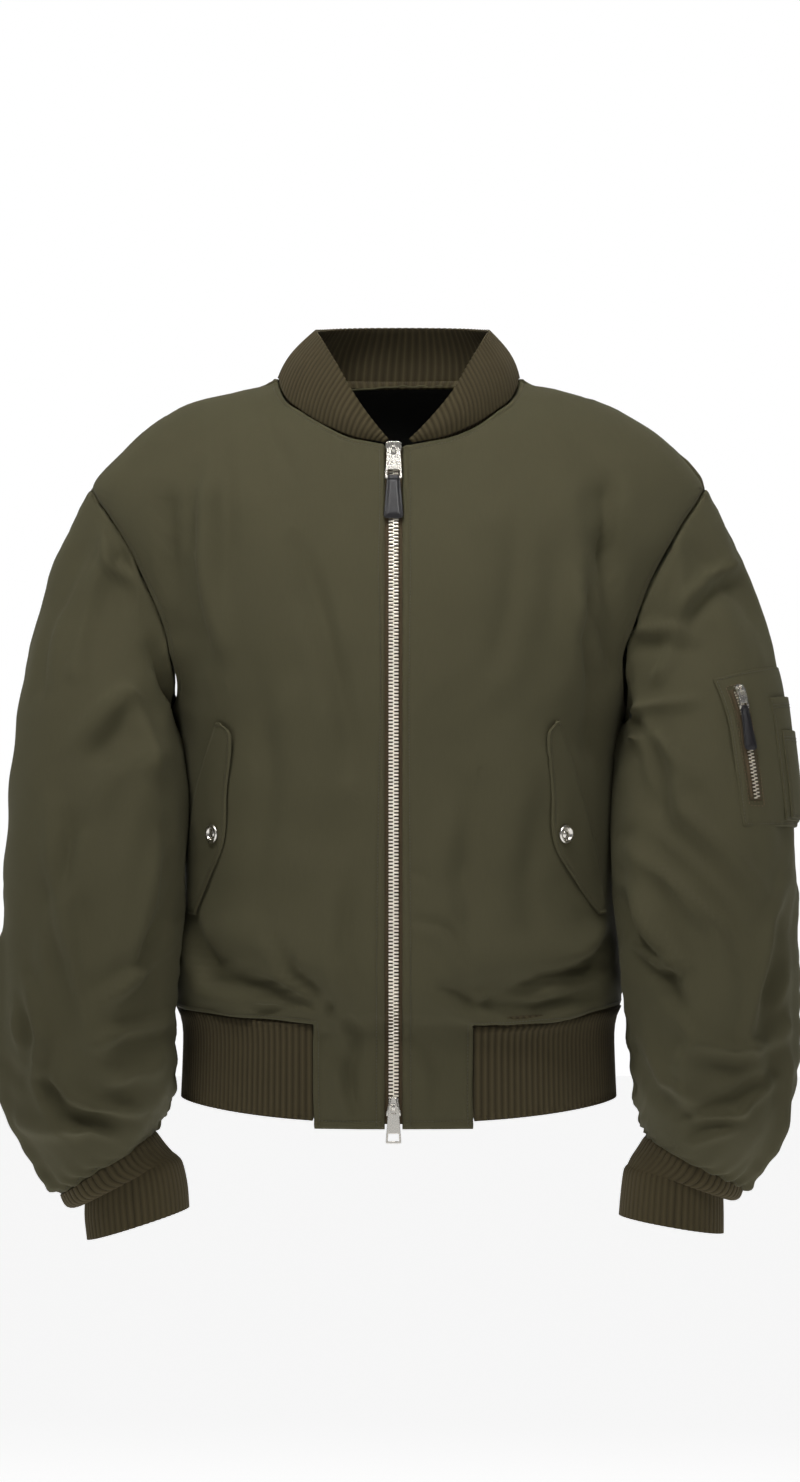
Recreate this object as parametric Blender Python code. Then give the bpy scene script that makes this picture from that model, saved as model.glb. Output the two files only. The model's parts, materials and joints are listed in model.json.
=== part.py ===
"""Bomber jacket, zipped, hanging as it is worn.

Metres, +Z up, the fronts face -Y and the wearer's left is +X. The origin is the middle of the neck
opening, level with the points where the shoulder seams meet the collar.
"""
import math

import bmesh
import bpy
from mathutils import Matrix, Vector

# ---- driving sizes -------------------------------------------------------------------------------
SHELL = 0.0015            # shell cloth with what backs it
KNIT = 0.0022             # rib knit, without its ribs
RIB = 0.0007              # how far a knit rib stands out
SEAM = 0.0003             # gap between two pieces at a seam
HALF_SEAM = 0.0002        # how far each side of a front-to-back seam stands off it
LIFT = 0.0003             # gap under a piece that lies on another
HEM_SEAM = -0.511         # where the front panels meet the knit hem
HEM_SEAM_RISE = 0.009     # and how much higher that seam is at the sides and back
HEM_EDGE = -0.5865        # lower edge of the knit hem at the front
HEM_EDGE_RISE = 0.012
FRONT_TAIL = -0.5915      # lower edge of the cloth tail beside the zip
TAIL_WIDTH = 0.0625       # zip to the upright seam where the knit hem starts
ZIP_X = -0.0040           # the zip runs this far off the middle
ZIP_HALF_OPENING = 0.0068
CHAIN_WIDTH = 0.0078
CHAIN_THICK = 0.0024
TAPE_THICK = 0.0010
TAPE_WIDTH = 0.0120
CHAIN_PROUD = 0.0004      # how far the teeth stand proud of the cloth beside them
SLIDER_THICK = 0.0022
BRIDGE_RISE = 0.0019      # from a slider's face to its pull's hinge
BRIDGE_INNER = 0.0015     # the bridge's hollow, where the pull's bar turns
BRIDGE_OUTER = 0.0023
BRIDGE_WIDTH = 0.0028
PULL_AXIS_HEIGHT = CHAIN_PROUD + 0.0005 + SLIDER_THICK + BRIDGE_RISE
PULL_THICK = 0.0012
PULL_BAR = 0.0008         # half height of the bar that turns in the bridge
PULL_SLOT = 0.0040        # width of the slot that the bridge passes through
SLOT_LENGTH = 0.0042
PULL_CLEARANCE = 0.0006   # gap under a pull that lies on the cloth
LEATHER_THICK = 0.0024
TOP_SLIDER_LEVEL = -0.0640
TOP_METAL_LENGTH = 0.0260
TOP_LEATHER_LENGTH = 0.0335
TOP_LEATHER_WIDTH = 0.0160
LOW_SLIDER_LEVEL = -0.5740
LOW_METAL_LENGTH = 0.0290
FLAP_LIFT = 0.0012        # gap under a pocket flap, whose cloth lies on a curved front
SNAP_HEIGHT = 0.0026
PATCH_LIFT = 0.0009       # gap under the pocket sewn on the sleeve
ON_PATCH_LIFT = 0.0006    # gap under a piece sewn on that pocket
SLEEVE_TEETH_THICK = 0.0016
SLEEVE_AXIS_HEIGHT = 0.0010 + SLIDER_THICK + BRIDGE_RISE
SLEEVE_METAL_LENGTH = 0.0165
SLEEVE_LEATHER_LENGTH = 0.0340
SLEEVE_LEATHER_WIDTH = 0.0112
SLEEVE_ZIP_WIDTH = 0.0050

# level, half width, front depth, back depth, squareness of the section, depth of its widest point
TORSO = (
    (0.0060, 0.0900, 0.0020, 0.0760, 2.00, 0.0000),
    (0.0000, 0.0970, 0.0060, 0.0800, 2.00, 0.0000),
    (-0.0060, 0.1110, 0.0200, 0.0870, 2.00, 0.0000),
    (-0.0180, 0.1580, 0.0400, 0.0970, 2.00, 0.0000),
    (-0.0380, 0.1975, 0.0690, 0.1070, 2.05, 0.0000),
    (-0.0570, 0.2205, 0.0860, 0.1130, 2.10, 0.0000),
    (-0.0880, 0.2460, 0.1020, 0.1190, 2.15, 0.0010),
    (-0.1250, 0.2410, 0.1160, 0.1240, 2.25, 0.0040),
    (-0.1650, 0.2225, 0.1270, 0.1265, 2.30, 0.0080),
    (-0.2100, 0.2045, 0.1345, 0.1260, 2.30, 0.0130),
    (-0.2650, 0.1825, 0.1380, 0.1210, 2.30, 0.0180),
    (-0.2950, 0.1755, 0.1385, 0.1175, 2.30, 0.0200),
    (-0.3300, 0.1735, 0.1390, 0.1140, 2.30, 0.0220),
    (-0.4000, 0.1735, 0.1410, 0.1120, 2.30, 0.0250),
    (-0.4500, 0.1785, 0.1460, 0.1180, 2.30, 0.0250),
    (-0.4800, 0.1815, 0.1470, 0.1200, 2.30, 0.0250),
    (-0.5000, 0.1790, 0.1400, 0.1150, 2.30, 0.0240),
    (-0.5120, 0.1740, 0.1300, 0.1080, 2.30, 0.0230),
    (-0.5300, 0.1725, 0.1265, 0.1060, 2.30, 0.0220),
    (-0.6200, 0.1765, 0.1270, 0.1070, 2.30, 0.0220),
)

# share of the way down the armhole, level, distance from the middle in front and behind
ARMHOLE = (
    (0.00, -0.0880, 0.2460, 0.2460),
    (0.10, -0.1010, 0.2385, 0.2400),
    (0.25, -0.1230, 0.2230, 0.2260),
    (0.40, -0.1500, 0.2080, 0.2120),
    (0.55, -0.1800, 0.1940, 0.1985),
    (0.70, -0.2120, 0.1840, 0.1885),
    (0.82, -0.2370, 0.1790, 0.1825),
    (0.93, -0.2570, 0.1790, 0.1805),
    (1.00, -0.2650, 0.1825, 0.1825),
)

# share of the way from the zip to the shoulder seam, distance from the middle, level
FRONT_NECK = (
    (0.00, 0.0060, -0.0585),
    (0.06, 0.0122, -0.0564),
    (0.25, 0.0353, -0.0516),
    (0.37, 0.0490, -0.0463),
    (0.52, 0.0650, -0.0383),
    (0.67, 0.0780, -0.0291),
    (0.82, 0.0898, -0.0190),
    (0.94, 0.0958, -0.0067),
    (1.00, 0.0970, 0.0000),
)

# share of the way from the zip round to the middle of the back, then the collar's upper edge:
# distance from the middle, depth and level
COLLAR_EDGE = (
    (0.000, 0.0098, -0.0862, -0.0535),
    (0.060, 0.0180, -0.0845, -0.0440),
    (0.135, 0.0300, -0.0785, -0.0280),
    (0.205, 0.0410, -0.0710, -0.0120),
    (0.290, 0.0505, -0.0595, 0.0050),
    (0.370, 0.0585, -0.0440, 0.0190),
    (0.455, 0.0650, -0.0265, 0.0305),
    (0.530, 0.0685, -0.0060, 0.0370),
    (0.580, 0.0692, 0.0110, 0.0395),
    (0.680, 0.0645, 0.0330, 0.0415),
    (0.800, 0.0495, 0.0540, 0.0440),
    (0.900, 0.0280, 0.0665, 0.0455),
    (1.000, 0.0000, 0.0710, 0.0460),
)
COLLAR_FRONT_SHARE = 0.56 # share of the half collar that is sewn to a front, not to the back
COLLAR_START = 0.05       # share of the front's neck edge that the collar leaves free at the zip
COLLAR_LEAN = 0.0030      # how far its upper edge sits to the wearer's left
COLLAR_ROLL = 0.0045      # how far the collar swells between its seam and its edge

# share of the way down the sleeve from its first full ring, then the ring's outer and inner points
# (distance from the middle, level), its middle's depth and its half depth, for either sleeve
SLEEVE = {
    "right": (
        (0.00, 0.3035, -0.2750, 0.1790, -0.2930, -0.0180, 0.0830),
        (0.12, 0.3080, -0.3250, 0.1730, -0.3350, -0.0320, 0.0840),
        (0.26, 0.3110, -0.3850, 0.1712, -0.3900, -0.0430, 0.0830),
        (0.42, 0.3145, -0.4500, 0.1760, -0.4480, -0.0470, 0.0800),
        (0.56, 0.3165, -0.5100, 0.1780, -0.5000, -0.0460, 0.0770),
        (0.67, 0.3150, -0.5550, 0.1745, -0.5380, -0.0430, 0.0740),
        (0.78, 0.3010, -0.6000, 0.1765, -0.5660, -0.0390, 0.0690),
        (0.86, 0.2870, -0.6270, 0.1830, -0.5840, -0.0350, 0.0630),
        (0.93, 0.2755, -0.6440, 0.1895, -0.5940, -0.0320, 0.0560),
        (1.00, 0.2665, -0.6500, 0.1950, -0.6010, -0.0300, 0.0480),
    ),
    "left": (
        (0.00, 0.3065, -0.2750, 0.1765, -0.2930, -0.0180, 0.0830),
        (0.12, 0.3110, -0.3250, 0.1700, -0.3350, -0.0320, 0.0840),
        (0.26, 0.3145, -0.3850, 0.1685, -0.3900, -0.0430, 0.0830),
        (0.42, 0.3165, -0.4500, 0.1750, -0.4480, -0.0470, 0.0800),
        (0.56, 0.3160, -0.5100, 0.1850, -0.5000, -0.0460, 0.0770),
        (0.67, 0.3130, -0.5600, 0.1830, -0.5380, -0.0430, 0.0740),
        (0.78, 0.3010, -0.6050, 0.1860, -0.5680, -0.0390, 0.0690),
        (0.86, 0.2860, -0.6270, 0.1905, -0.5860, -0.0350, 0.0630),
        (0.93, 0.2755, -0.6400, 0.1945, -0.5970, -0.0320, 0.0560),
        (1.00, 0.2715, -0.6440, 0.1975, -0.6050, -0.0300, 0.0480),
    ),
}
SLEEVE_CAP_SHARE = 0.30   # share of the sleeve's rows that lie above its first full ring

# share of the way down the knit cuff, then a ring as in the sleeve's table
CUFF = {
    "right": (
        (0.00, 0.2663, -0.6506, 0.1950, -0.6016, -0.0300, 0.0478),
        (0.18, 0.2610, -0.6575, 0.1890, -0.6100, -0.0305, 0.0455),
        (0.34, 0.2510, -0.6540, 0.1820, -0.6180, -0.0310, 0.0410),
        (0.44, 0.2440, -0.6430, 0.1780, -0.6210, -0.0316, 0.0370),
        (0.54, 0.2455, -0.6480, 0.1745, -0.6250, -0.0322, 0.0378),
        (0.78, 0.2465, -0.6660, 0.1705, -0.6420, -0.0334, 0.0380),
        (1.00, 0.2445, -0.6850, 0.1690, -0.6600, -0.0345, 0.0372),
    ),
    "left": (
        (0.00, 0.2713, -0.6446, 0.1975, -0.6056, -0.0300, 0.0478),
        (0.18, 0.2680, -0.6510, 0.1930, -0.6130, -0.0305, 0.0455),
        (0.34, 0.2610, -0.6500, 0.1870, -0.6220, -0.0310, 0.0410),
        (0.44, 0.2535, -0.6410, 0.1840, -0.6280, -0.0316, 0.0370),
        (0.54, 0.2545, -0.6450, 0.1815, -0.6310, -0.0322, 0.0378),
        (0.78, 0.2550, -0.6620, 0.1790, -0.6490, -0.0334, 0.0380),
        (1.00, 0.2550, -0.6800, 0.1775, -0.6660, -0.0345, 0.0372),
    ),
}

# folds of the torso: ends (across, level), half width and how far out (+) or in (-) the cloth goes
FRONT_FOLDS = (
    (-0.182, -0.110, -0.174, -0.200, 0.0160, -0.0075),
    (-0.156, -0.100, -0.148, -0.210, 0.0160, 0.0050),
    (-0.156, -0.215, -0.170, -0.250, 0.0150, -0.0060),
    (0.158, -0.100, 0.161, -0.140, 0.0160, -0.0060),
    (0.162, -0.140, 0.174, -0.215, 0.0160, -0.0075),
    (0.136, -0.100, 0.146, -0.215, 0.0160, 0.0050),
    (0.150, -0.205, 0.148, -0.285, 0.0140, -0.0050),
    (-0.120, -0.110, -0.055, -0.330, 0.0260, 0.0045),
    (-0.080, -0.190, -0.045, -0.420, 0.0200, -0.0035),
    (0.055, -0.130, 0.095, -0.330, 0.0260, 0.0045),
    (0.040, -0.300, 0.070, -0.450, 0.0200, -0.0035),
    (-0.140, -0.462, -0.070, -0.486, 0.0140, -0.0065),
    (-0.125, -0.440, -0.050, -0.468, 0.0150, 0.0045),
    (0.050, -0.484, 0.145, -0.480, 0.0140, -0.0065),
    (0.060, -0.458, 0.140, -0.454, 0.0150, 0.0045),
)
BACK_FOLDS = (
    (-0.190, -0.120, -0.178, -0.230, 0.0170, -0.0070),
    (0.186, -0.120, 0.180, -0.225, 0.0170, -0.0070),
    (-0.160, -0.120, -0.154, -0.250, 0.0170, 0.0050),
    (0.156, -0.125, 0.150, -0.260, 0.0170, 0.0050),
    (-0.110, -0.180, -0.060, -0.430, 0.0280, 0.0055),
    (0.040, -0.160, 0.085, -0.420, 0.0300, 0.0055),
    (-0.020, -0.240, -0.010, -0.440, 0.0220, -0.0050),
    (0.120, -0.280, 0.110, -0.430, 0.0200, -0.0045),
    (-0.130, -0.470, -0.030, -0.480, 0.0150, -0.0065),
    (0.020, -0.478, 0.130, -0.468, 0.0150, -0.0065),
    (-0.080, -0.445, 0.060, -0.450, 0.0160, 0.0050),
)

# folds of a sleeve: ends (turn round the arm, share down the sleeve), half width and depth
SLEEVE_FOLDS = {
    "right": (
        (0.13, 0.02, 0.19, 0.20, 0.0100, -0.0060),
        (0.08, 0.06, 0.12, 0.24, 0.0130, 0.0045),
        (0.30, 0.10, 0.36, 0.30, 0.0110, -0.0060),
        (0.22, 0.28, 0.14, 0.60, 0.0200, 0.0045),
        (0.33, 0.34, 0.28, 0.74, 0.0150, -0.0050),
        (0.18, 0.55, 0.21, 0.80, 0.0120, -0.0040),
        (0.03, 0.60, 0.06, 0.95, 0.0100, -0.0060),
        (0.09, 0.76, 0.20, 0.80, 0.0100, 0.0050),
        (0.09, 0.83, 0.22, 0.86, 0.0090, -0.0050),
        (0.84, 0.05, 0.80, 0.25, 0.0140, -0.0050),
        (0.72, 0.15, 0.64, 0.36, 0.0140, -0.0050),
        (0.86, 0.30, 0.80, 0.62, 0.0200, 0.0045),
        (0.68, 0.46, 0.88, 0.56, 0.0150, -0.0050),
        (0.66, 0.64, 0.90, 0.72, 0.0140, -0.0050),
        (0.70, 0.82, 0.92, 0.88, 0.0120, 0.0045),
    ),
    "left": (
        (0.16, 0.02, 0.30, 0.14, 0.0120, -0.0060),
        (0.12, 0.03, 0.06, 0.14, 0.0120, 0.0045),
        (0.40, 0.18, 0.27, 0.23, 0.0110, -0.0055),
        (0.40, 0.28, 0.29, 0.36, 0.0110, -0.0050),
        (0.36, 0.32, 0.32, 0.66, 0.0170, 0.0045),
        (0.38, 0.48, 0.30, 0.82, 0.0140, -0.0050),
        (0.20, 0.62, 0.30, 0.76, 0.0160, -0.0040),
        (0.10, 0.70, 0.04, 0.96, 0.0100, -0.0060),
        (0.10, 0.72, 0.18, 0.80, 0.0100, 0.0050),
        (0.86, 0.06, 0.80, 0.24, 0.0140, -0.0050),
        (0.74, 0.12, 0.64, 0.32, 0.0140, -0.0050),
        (0.88, 0.34, 0.78, 0.66, 0.0200, 0.0045),
        (0.66, 0.44, 0.86, 0.52, 0.0150, -0.0050),
        (0.68, 0.62, 0.92, 0.70, 0.0140, -0.0050),
        (0.70, 0.80, 0.92, 0.86, 0.0120, 0.0045),
    ),
}

# pocket flaps: share of the way down, level, free edge and sewn edge (distances from the middle)
FLAPS = {
    "right": (
        (0.00, -0.2750, -0.1385, -0.1425),
        (0.10, -0.2855, -0.1292, -0.1460),
        (0.36, -0.3300, -0.1331, -0.1600),
        (0.62, -0.3700, -0.1358, -0.1660),
        (0.80, -0.4000, -0.1480, -0.1665),
        (1.00, -0.4270, -0.1595, -0.1668),
    ),
    "left": (
        (0.00, -0.2740, 0.1215, 0.1250),
        (0.10, -0.2855, 0.1132, 0.1290),
        (0.36, -0.3300, 0.1168, 0.1430),
        (0.62, -0.3720, 0.1207, 0.1545),
        (0.80, -0.4000, 0.1370, 0.1590),
        (1.00, -0.4270, 0.1550, 0.1620),
    ),
}
SNAPS = {"right": (-0.1430, -0.3627), "left": (0.1275, -0.3627)}
SNAP_RADIUS = 0.0074
SIDES = {"right": -1.0, "left": 1.0}

# corners of what is sewn on the left sleeve, as (turn round the arm, share down the sleeve):
# top front, top back, bottom back, bottom front
POCKET = ((0.218, 0.204), (-0.030, 0.232), (-0.030, 0.440), (0.196, 0.432))
POCKET_ZIP = ((0.192, 0.236), (0.180, 0.237), (0.164, 0.400), (0.176, 0.399))
PEN_BACK = ((0.112, 0.262), (-0.020, 0.270), (-0.020, 0.434), (0.100, 0.428))
PEN_FRONT = ((0.094, 0.310), (-0.014, 0.316), (-0.014, 0.430), (0.088, 0.426))


# ---- shapes and materials ------------------------------------------------------------------------
def read(table, at):
    """Every further column of a table, smoothly, where its first column is `at`."""
    keys = [row[0] for row in table]
    turned = -1.0 if keys[-1] < keys[0] else 1.0
    last = len(table) - 2
    low = 0
    while low < last and (at - keys[low + 1]) * turned > 0:
        low += 1
    span = keys[low + 1] - keys[low]
    share = min(1.0, max(0.0, (at - keys[low]) / span))
    values = []
    for column in range(1, len(table[0])):
        here, there = table[low][column], table[low + 1][column]
        slope = (there - here) / span
        before = slope
        if low:
            before = (there - table[low - 1][column]) / (keys[low + 1] - keys[low - 1])
        after = slope
        if low < last:
            after = (table[low + 2][column] - here) / (keys[low + 2] - keys[low])
        square, cube = share ** 2, share ** 3
        value = (2 * cube - 3 * square + 1) * here + (3 * square - 2 * cube) * there
        value += (cube - 2 * square + share) * span * before + (cube - square) * span * after
        values.append(value)
    return values


def mix(a, b, share):
    return a + (b - a) * share


def to_segment(x, y, x0, y0, x1, y1):
    """Distance from a point to a segment, in its own plane."""
    run_x, run_y = x1 - x0, y1 - y0
    share = ((x - x0) * run_x + (y - y0) * run_y) / (run_x ** 2 + run_y ** 2)
    share = min(1.0, max(0.0, share))
    return math.hypot(x - x0 - share * run_x, y - y0 - share * run_y)


def finish(name, colour, roughness, metallic=0.0):
    made = bpy.data.materials.new(name)
    made.use_nodes = True
    surface = made.node_tree.nodes["Principled BSDF"]
    surface.inputs["Base Color"].default_value = (*colour, 1.0)
    surface.inputs["Roughness"].default_value = roughness
    surface.inputs["Metallic"].default_value = metallic
    return made


def keep(name, mesh, material):
    """Puts a mesh in the jacket's collection as a named piece."""
    piece = bpy.data.objects.new(name, mesh)
    mesh.materials.append(material)
    JACKET.objects.link(piece)
    return piece


def keep_bmesh(name, bm, material):
    bmesh.ops.recalc_face_normals(bm, faces=bm.faces[:])
    if bm.calc_volume(signed=True) < 0:
        bmesh.ops.reverse_faces(bm, faces=bm.faces[:])
    mesh = bpy.data.meshes.new(name)
    bm.to_mesh(mesh)
    bm.free()
    mesh.shade_smooth()
    mesh.set_sharp_from_angle(angle=math.radians(50))
    return keep(name, mesh, material)


def outward(surface, heart, step=0.002):
    """place(u, v, distance): surface(u, v) moved along its normal, away from the point heart."""
    def normal(u, v):
        across = surface(u + step, v) - surface(u - step, v)
        down = surface(u, v + step) - surface(u, v - step)
        return across.cross(down).normalized()

    sign = math.copysign(1.0, normal(0.5, 0.5).dot(surface(0.5, 0.5) - Vector(heart)))
    return lambda u, v, distance: surface(u, v) + normal(u, v) * (sign * distance)


def cloth(name, columns, rows, place, material, thickness=SHELL, lift=0.0, left_out=None):
    """A wall: a grid laid out by place(u, v, distance), and the same grid one thickness further in.

    left_out(u, v) is true where the grid has no cloth."""
    bm = bmesh.new()
    bmesh.ops.create_grid(bm, x_segments=columns, y_segments=rows, size=0.5)
    if left_out:
        gone = [f for f in bm.faces if left_out(f.calc_center_median().x + 0.5,
                                                f.calc_center_median().y + 0.5)]
        bmesh.ops.delete(bm, geom=gone, context="FACES")
    outer = bm.verts[:]
    made = bmesh.ops.extrude_face_region(bm, geom=bm.faces[:], use_keep_orig=True)
    inner = [part for part in made["geom"] if isinstance(part, bmesh.types.BMVert)]
    for vert in outer:
        u, v = vert.co.x + 0.5, vert.co.y + 0.5
        vert.co = place(u, v, lift)
    for vert in inner:
        u, v = vert.co.x + 0.5, vert.co.y + 0.5
        vert.co = place(u, v, lift - thickness)
    return keep_bmesh(name, bm, material)


def knit(name, ribs, rows, place, material, closed, fine_per_coarse=8):
    """A band of rib knit: ribs stand out of the outer face, the inner face is plain and coarser."""
    fine = 2 * ribs
    coarse = fine // fine_per_coarse
    bm = bmesh.new()

    def face_of(columns, point):
        grid = {}
        for i in range(columns if closed else columns + 1):
            for j in range(rows + 1):
                grid[i, j] = bm.verts.new(point(i, i / columns, j / rows))
        if closed:
            for j in range(rows + 1):
                grid[columns, j] = grid[0, j]
        for i in range(columns):
            for j in range(rows):
                bm.faces.new((grid[i, j], grid[i + 1, j], grid[i + 1, j + 1], grid[i, j + 1]))
        return grid

    outer = face_of(fine, lambda i, u, v: place(u, v, RIB * (i % 2)))
    inner = face_of(coarse, lambda i, u, v: place(u, v, -KNIT))
    rims = []
    for j in (0, rows):
        for k in range(coarse):
            first = k * fine_per_coarse
            edge = [outer[i, j] for i in range(first + fine_per_coarse, first - 1, -1)]
            rims.append(bm.faces.new([inner[k, j], inner[k + 1, j]] + edge))
    if not closed:
        for k, i in ((0, 0), (coarse, fine)):
            for j in range(rows):
                bm.faces.new((outer[i, j], outer[i, j + 1], inner[k, j + 1], inner[k, j]))
    bmesh.ops.triangulate(bm, faces=rims)
    return keep_bmesh(name, bm, material)


# ---- the torso's surface -------------------------------------------------------------------------
def section_point(back, turn, level):
    """A point of the plain torso. turn is the angle from the middle of its face, in radians."""
    half_width, front, behind, square, widest = read(TORSO, level)
    sine, cosine = math.sin(turn), math.cos(turn)
    x = half_width * math.copysign(abs(sine) ** (2 / square), sine)
    reach = behind - widest if back else -front - widest
    y = widest + reach * math.copysign(abs(cosine) ** (2 / square), cosine)
    return Vector((x, y, level))


def turn_at(x, level):
    """The angle where the torso's section is x from the middle."""
    half_width, _, _, square, _ = read(TORSO, level)
    share = min(1.0, abs(x) / half_width)
    return math.copysign(math.asin(share ** (square / 2)), x)


def torso_point(back, turn, level):
    """A point of the torso with its folds, which die out at the side and shoulder seams."""
    plain = section_point(back, turn, level)
    step = 0.004
    across = section_point(back, turn + step, level) - section_point(back, turn - step, level)
    down = section_point(back, turn, level - step) - section_point(back, turn, level + step)
    out = across.cross(down).normalized()
    if not back:
        out = -out
    depth = 0.0
    for x0, z0, x1, z1, width, height in (BACK_FOLDS if back else FRONT_FOLDS):
        reach = to_segment(plain.x, level, x0, z0, x1, z1) / width
        if reach < 3:
            depth += height * math.exp(-reach * reach)
    fade = 1.0 - abs(math.sin(turn)) ** 12
    apart = Vector((0.0, HALF_SEAM if back else -HALF_SEAM, 0.0))
    return plain + out * depth * fade + apart


def torso_out(back, turn, level, distance):
    """The same point moved along the folded surface's normal."""
    step = 0.004
    across = torso_point(back, turn + step, level) - torso_point(back, turn - step, level)
    down = torso_point(back, turn, level - step) - torso_point(back, turn, level + step)
    out = across.cross(down).normalized()
    return torso_point(back, turn, level) + out * (distance if back else -distance)


def armhole_turn(back, share):
    level, front_x, back_x = read(ARMHOLE, share)
    return turn_at(back_x if back else front_x, level), level


def side_path(back, v, seam_level):
    """The outer edge of a panel: down the shoulder seam, round the armhole, down the side seam."""
    shoulder = SHOULDER_ROWS / PANEL_ROWS
    armpit = shoulder + SLEEVE_COLUMNS / PANEL_ROWS
    if v < shoulder:
        return math.pi / 2, read(SHOULDER_LEVELS, v / shoulder)[0]
    if v < armpit:
        return armhole_turn(back, (v - shoulder) / (armpit - shoulder))
    share = (v - armpit) / (1 - armpit)
    return math.pi / 2, mix(ARMHOLE[-1][1], seam_level, share)


# share of the way along the shoulder seam, its level
SHOULDER_LEVELS = (
    (0.00, 0.0000), (0.20, -0.0060), (0.40, -0.0180), (0.60, -0.0340), (0.80, -0.0560), (1.00, -0.0880),
)


def blend_edges(top, bottom, inner, outer, u, v, nearness):
    """Coons blend of four edges, each a (turn, level) pair. nearness is 1 at a side, 0 between them,
    where the sines of the turns are blended and so the columns stand at even widths."""
    def blend(part):
        ruled = mix(part(top(u)), part(bottom(u)), v) + mix(part(inner(v)), part(outer(v)), u)
        corners = mix(mix(part(top(0)), part(top(1)), u), mix(part(bottom(0)), part(bottom(1)), u), v)
        return ruled - corners

    sine = max(-1.0, min(1.0, blend(lambda pair: math.sin(pair[0]))))
    turn = mix(math.asin(sine), blend(lambda pair: pair[0]), nearness ** 2)
    return turn, blend(lambda pair: pair[1])


def seam_level_at(turn):
    return HEM_SEAM + HEM_SEAM_RISE * math.sin(turn) ** 2


def hem_level_at(turn):
    return HEM_EDGE + HEM_EDGE_RISE * math.sin(turn) ** 2


SHOULDER_ROWS = 5         # rows of a panel beside the shoulder seam
SLEEVE_COLUMNS = 10       # columns of half a sleeve, and so rows of a panel beside the armhole
SIDE_ROWS = 8             # rows of a panel beside the side seam
PANEL_ROWS = SHOULDER_ROWS + SLEEVE_COLUMNS + SIDE_ROWS
TAIL_ROWS = 3             # rows of the front's tail below them
FRONT_COLUMNS = 12
TAIL_COLUMNS = 4          # columns that run on into the tail
BACK_COLUMNS = 20
TAIL_SHARE = TAIL_ROWS / (PANEL_ROWS + TAIL_ROWS)
TAIL_U = TAIL_COLUMNS / FRONT_COLUMNS
NECK_BACK_LEVEL = -0.0005


def front_place(side):
    """place(u, v, distance) of one front panel: u from the zip outwards, v from the neck down."""
    sign = SIDES[side]

    def zip_turn(level):
        return turn_at(sign * ZIP_X + ZIP_HALF_OPENING, level)

    def tail_turn(level):
        return turn_at(sign * ZIP_X + TAIL_WIDTH - SEAM, level)

    def top(u):
        x, level = read(FRONT_NECK, u)
        if u < FRONT_NECK[1][0]:
            x = mix(sign * ZIP_X + ZIP_HALF_OPENING, FRONT_NECK[1][1], u / FRONT_NECK[1][0])
        return turn_at(x, level), level

    def bottom(u):
        if u < TAIL_U:
            turn = mix(zip_turn(HEM_SEAM), tail_turn(HEM_SEAM), u / TAIL_U)
        else:
            turn = mix(tail_turn(HEM_SEAM), math.pi / 2, (u - TAIL_U) / (1 - TAIL_U))
        return turn, seam_level_at(turn) + SEAM

    def inner(v):
        level = mix(top(0)[1], bottom(0)[1], v)
        return zip_turn(level), level

    def outer(v):
        return side_path(False, v, bottom(1)[1])

    def place(u, v, distance):
        down = v / (1 - TAIL_SHARE)
        if down < 1.001:
            turn, level = blend_edges(top, bottom, inner, outer, u, down, u)
        else:
            level = mix(bottom(u)[1], FRONT_TAIL, (down - 1) * (1 - TAIL_SHARE) / TAIL_SHARE)
            turn = mix(zip_turn(level), tail_turn(level), u / TAIL_U)
        return torso_out(False, sign * turn, level, distance)

    return place


def back_place(u, v, distance):
    """u from the wearer's right to the left, v from the neck down."""
    def top(u):
        return mix(-math.pi / 2, math.pi / 2, u), NECK_BACK_LEVEL

    def bottom(u):
        return mix(-math.pi / 2, math.pi / 2, u), seam_level_at(math.pi / 2) + SEAM

    def right(v):
        turn, level = side_path(True, v, bottom(0)[1])
        return -turn, level

    def left(v):
        return side_path(True, v, bottom(0)[1])

    turn, level = blend_edges(top, bottom, right, left, u, v, 2 * u - 1)
    return torso_out(True, turn, level, distance)


def make_panels():
    """The two fronts, each with its tail beside the zip, and the back."""
    for side in SIDES:
        cloth("front_" + side, FRONT_COLUMNS, PANEL_ROWS + TAIL_ROWS,
              front_place(side), OLIVE,
              left_out=lambda u, v: v > 1 - TAIL_SHARE and u > TAIL_U)
    cloth("back", BACK_COLUMNS, PANEL_ROWS, back_place, OLIVE)


# ---- knit collar and hem -------------------------------------------------------------------------
COLLAR_RIBS = 104
HEM_RIBS = 172
CUFF_RIBS = 48


def neck_point(share):
    """The neck seam, on the wearer's left; share runs from the zip to the middle of the back."""
    if share < COLLAR_FRONT_SHARE:
        x, level = read(FRONT_NECK, mix(COLLAR_START, 1.0, share / COLLAR_FRONT_SHARE))
        return section_point(False, turn_at(x, level), level)
    turn = mix(math.pi / 2, 0.0, (share - COLLAR_FRONT_SHARE) / (1 - COLLAR_FRONT_SHARE))
    return section_point(True, turn, NECK_BACK_LEVEL)


def collar_surface(u, v):
    """u from the wearer's right front end round the back to the left, v from the seam upwards."""
    sign = 1.0 if u > 0.5 else -1.0
    share = 1 - abs(2 * u - 1)
    seam = neck_point(share)
    away = Vector((seam.x, seam.y, 0.0)).normalized()
    seam += Vector((0.0, 0.0, 3 * SEAM)) - away * (RIB + 2 * SEAM)
    edge = Vector(read(COLLAR_EDGE, share))
    tall = min(1.0, (edge - seam).length / 0.03)
    point = mix(seam, edge, v) + away * (COLLAR_ROLL * tall * math.sin(math.pi * v))
    point.x = point.x * sign + COLLAR_LEAN * v
    return point


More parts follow.
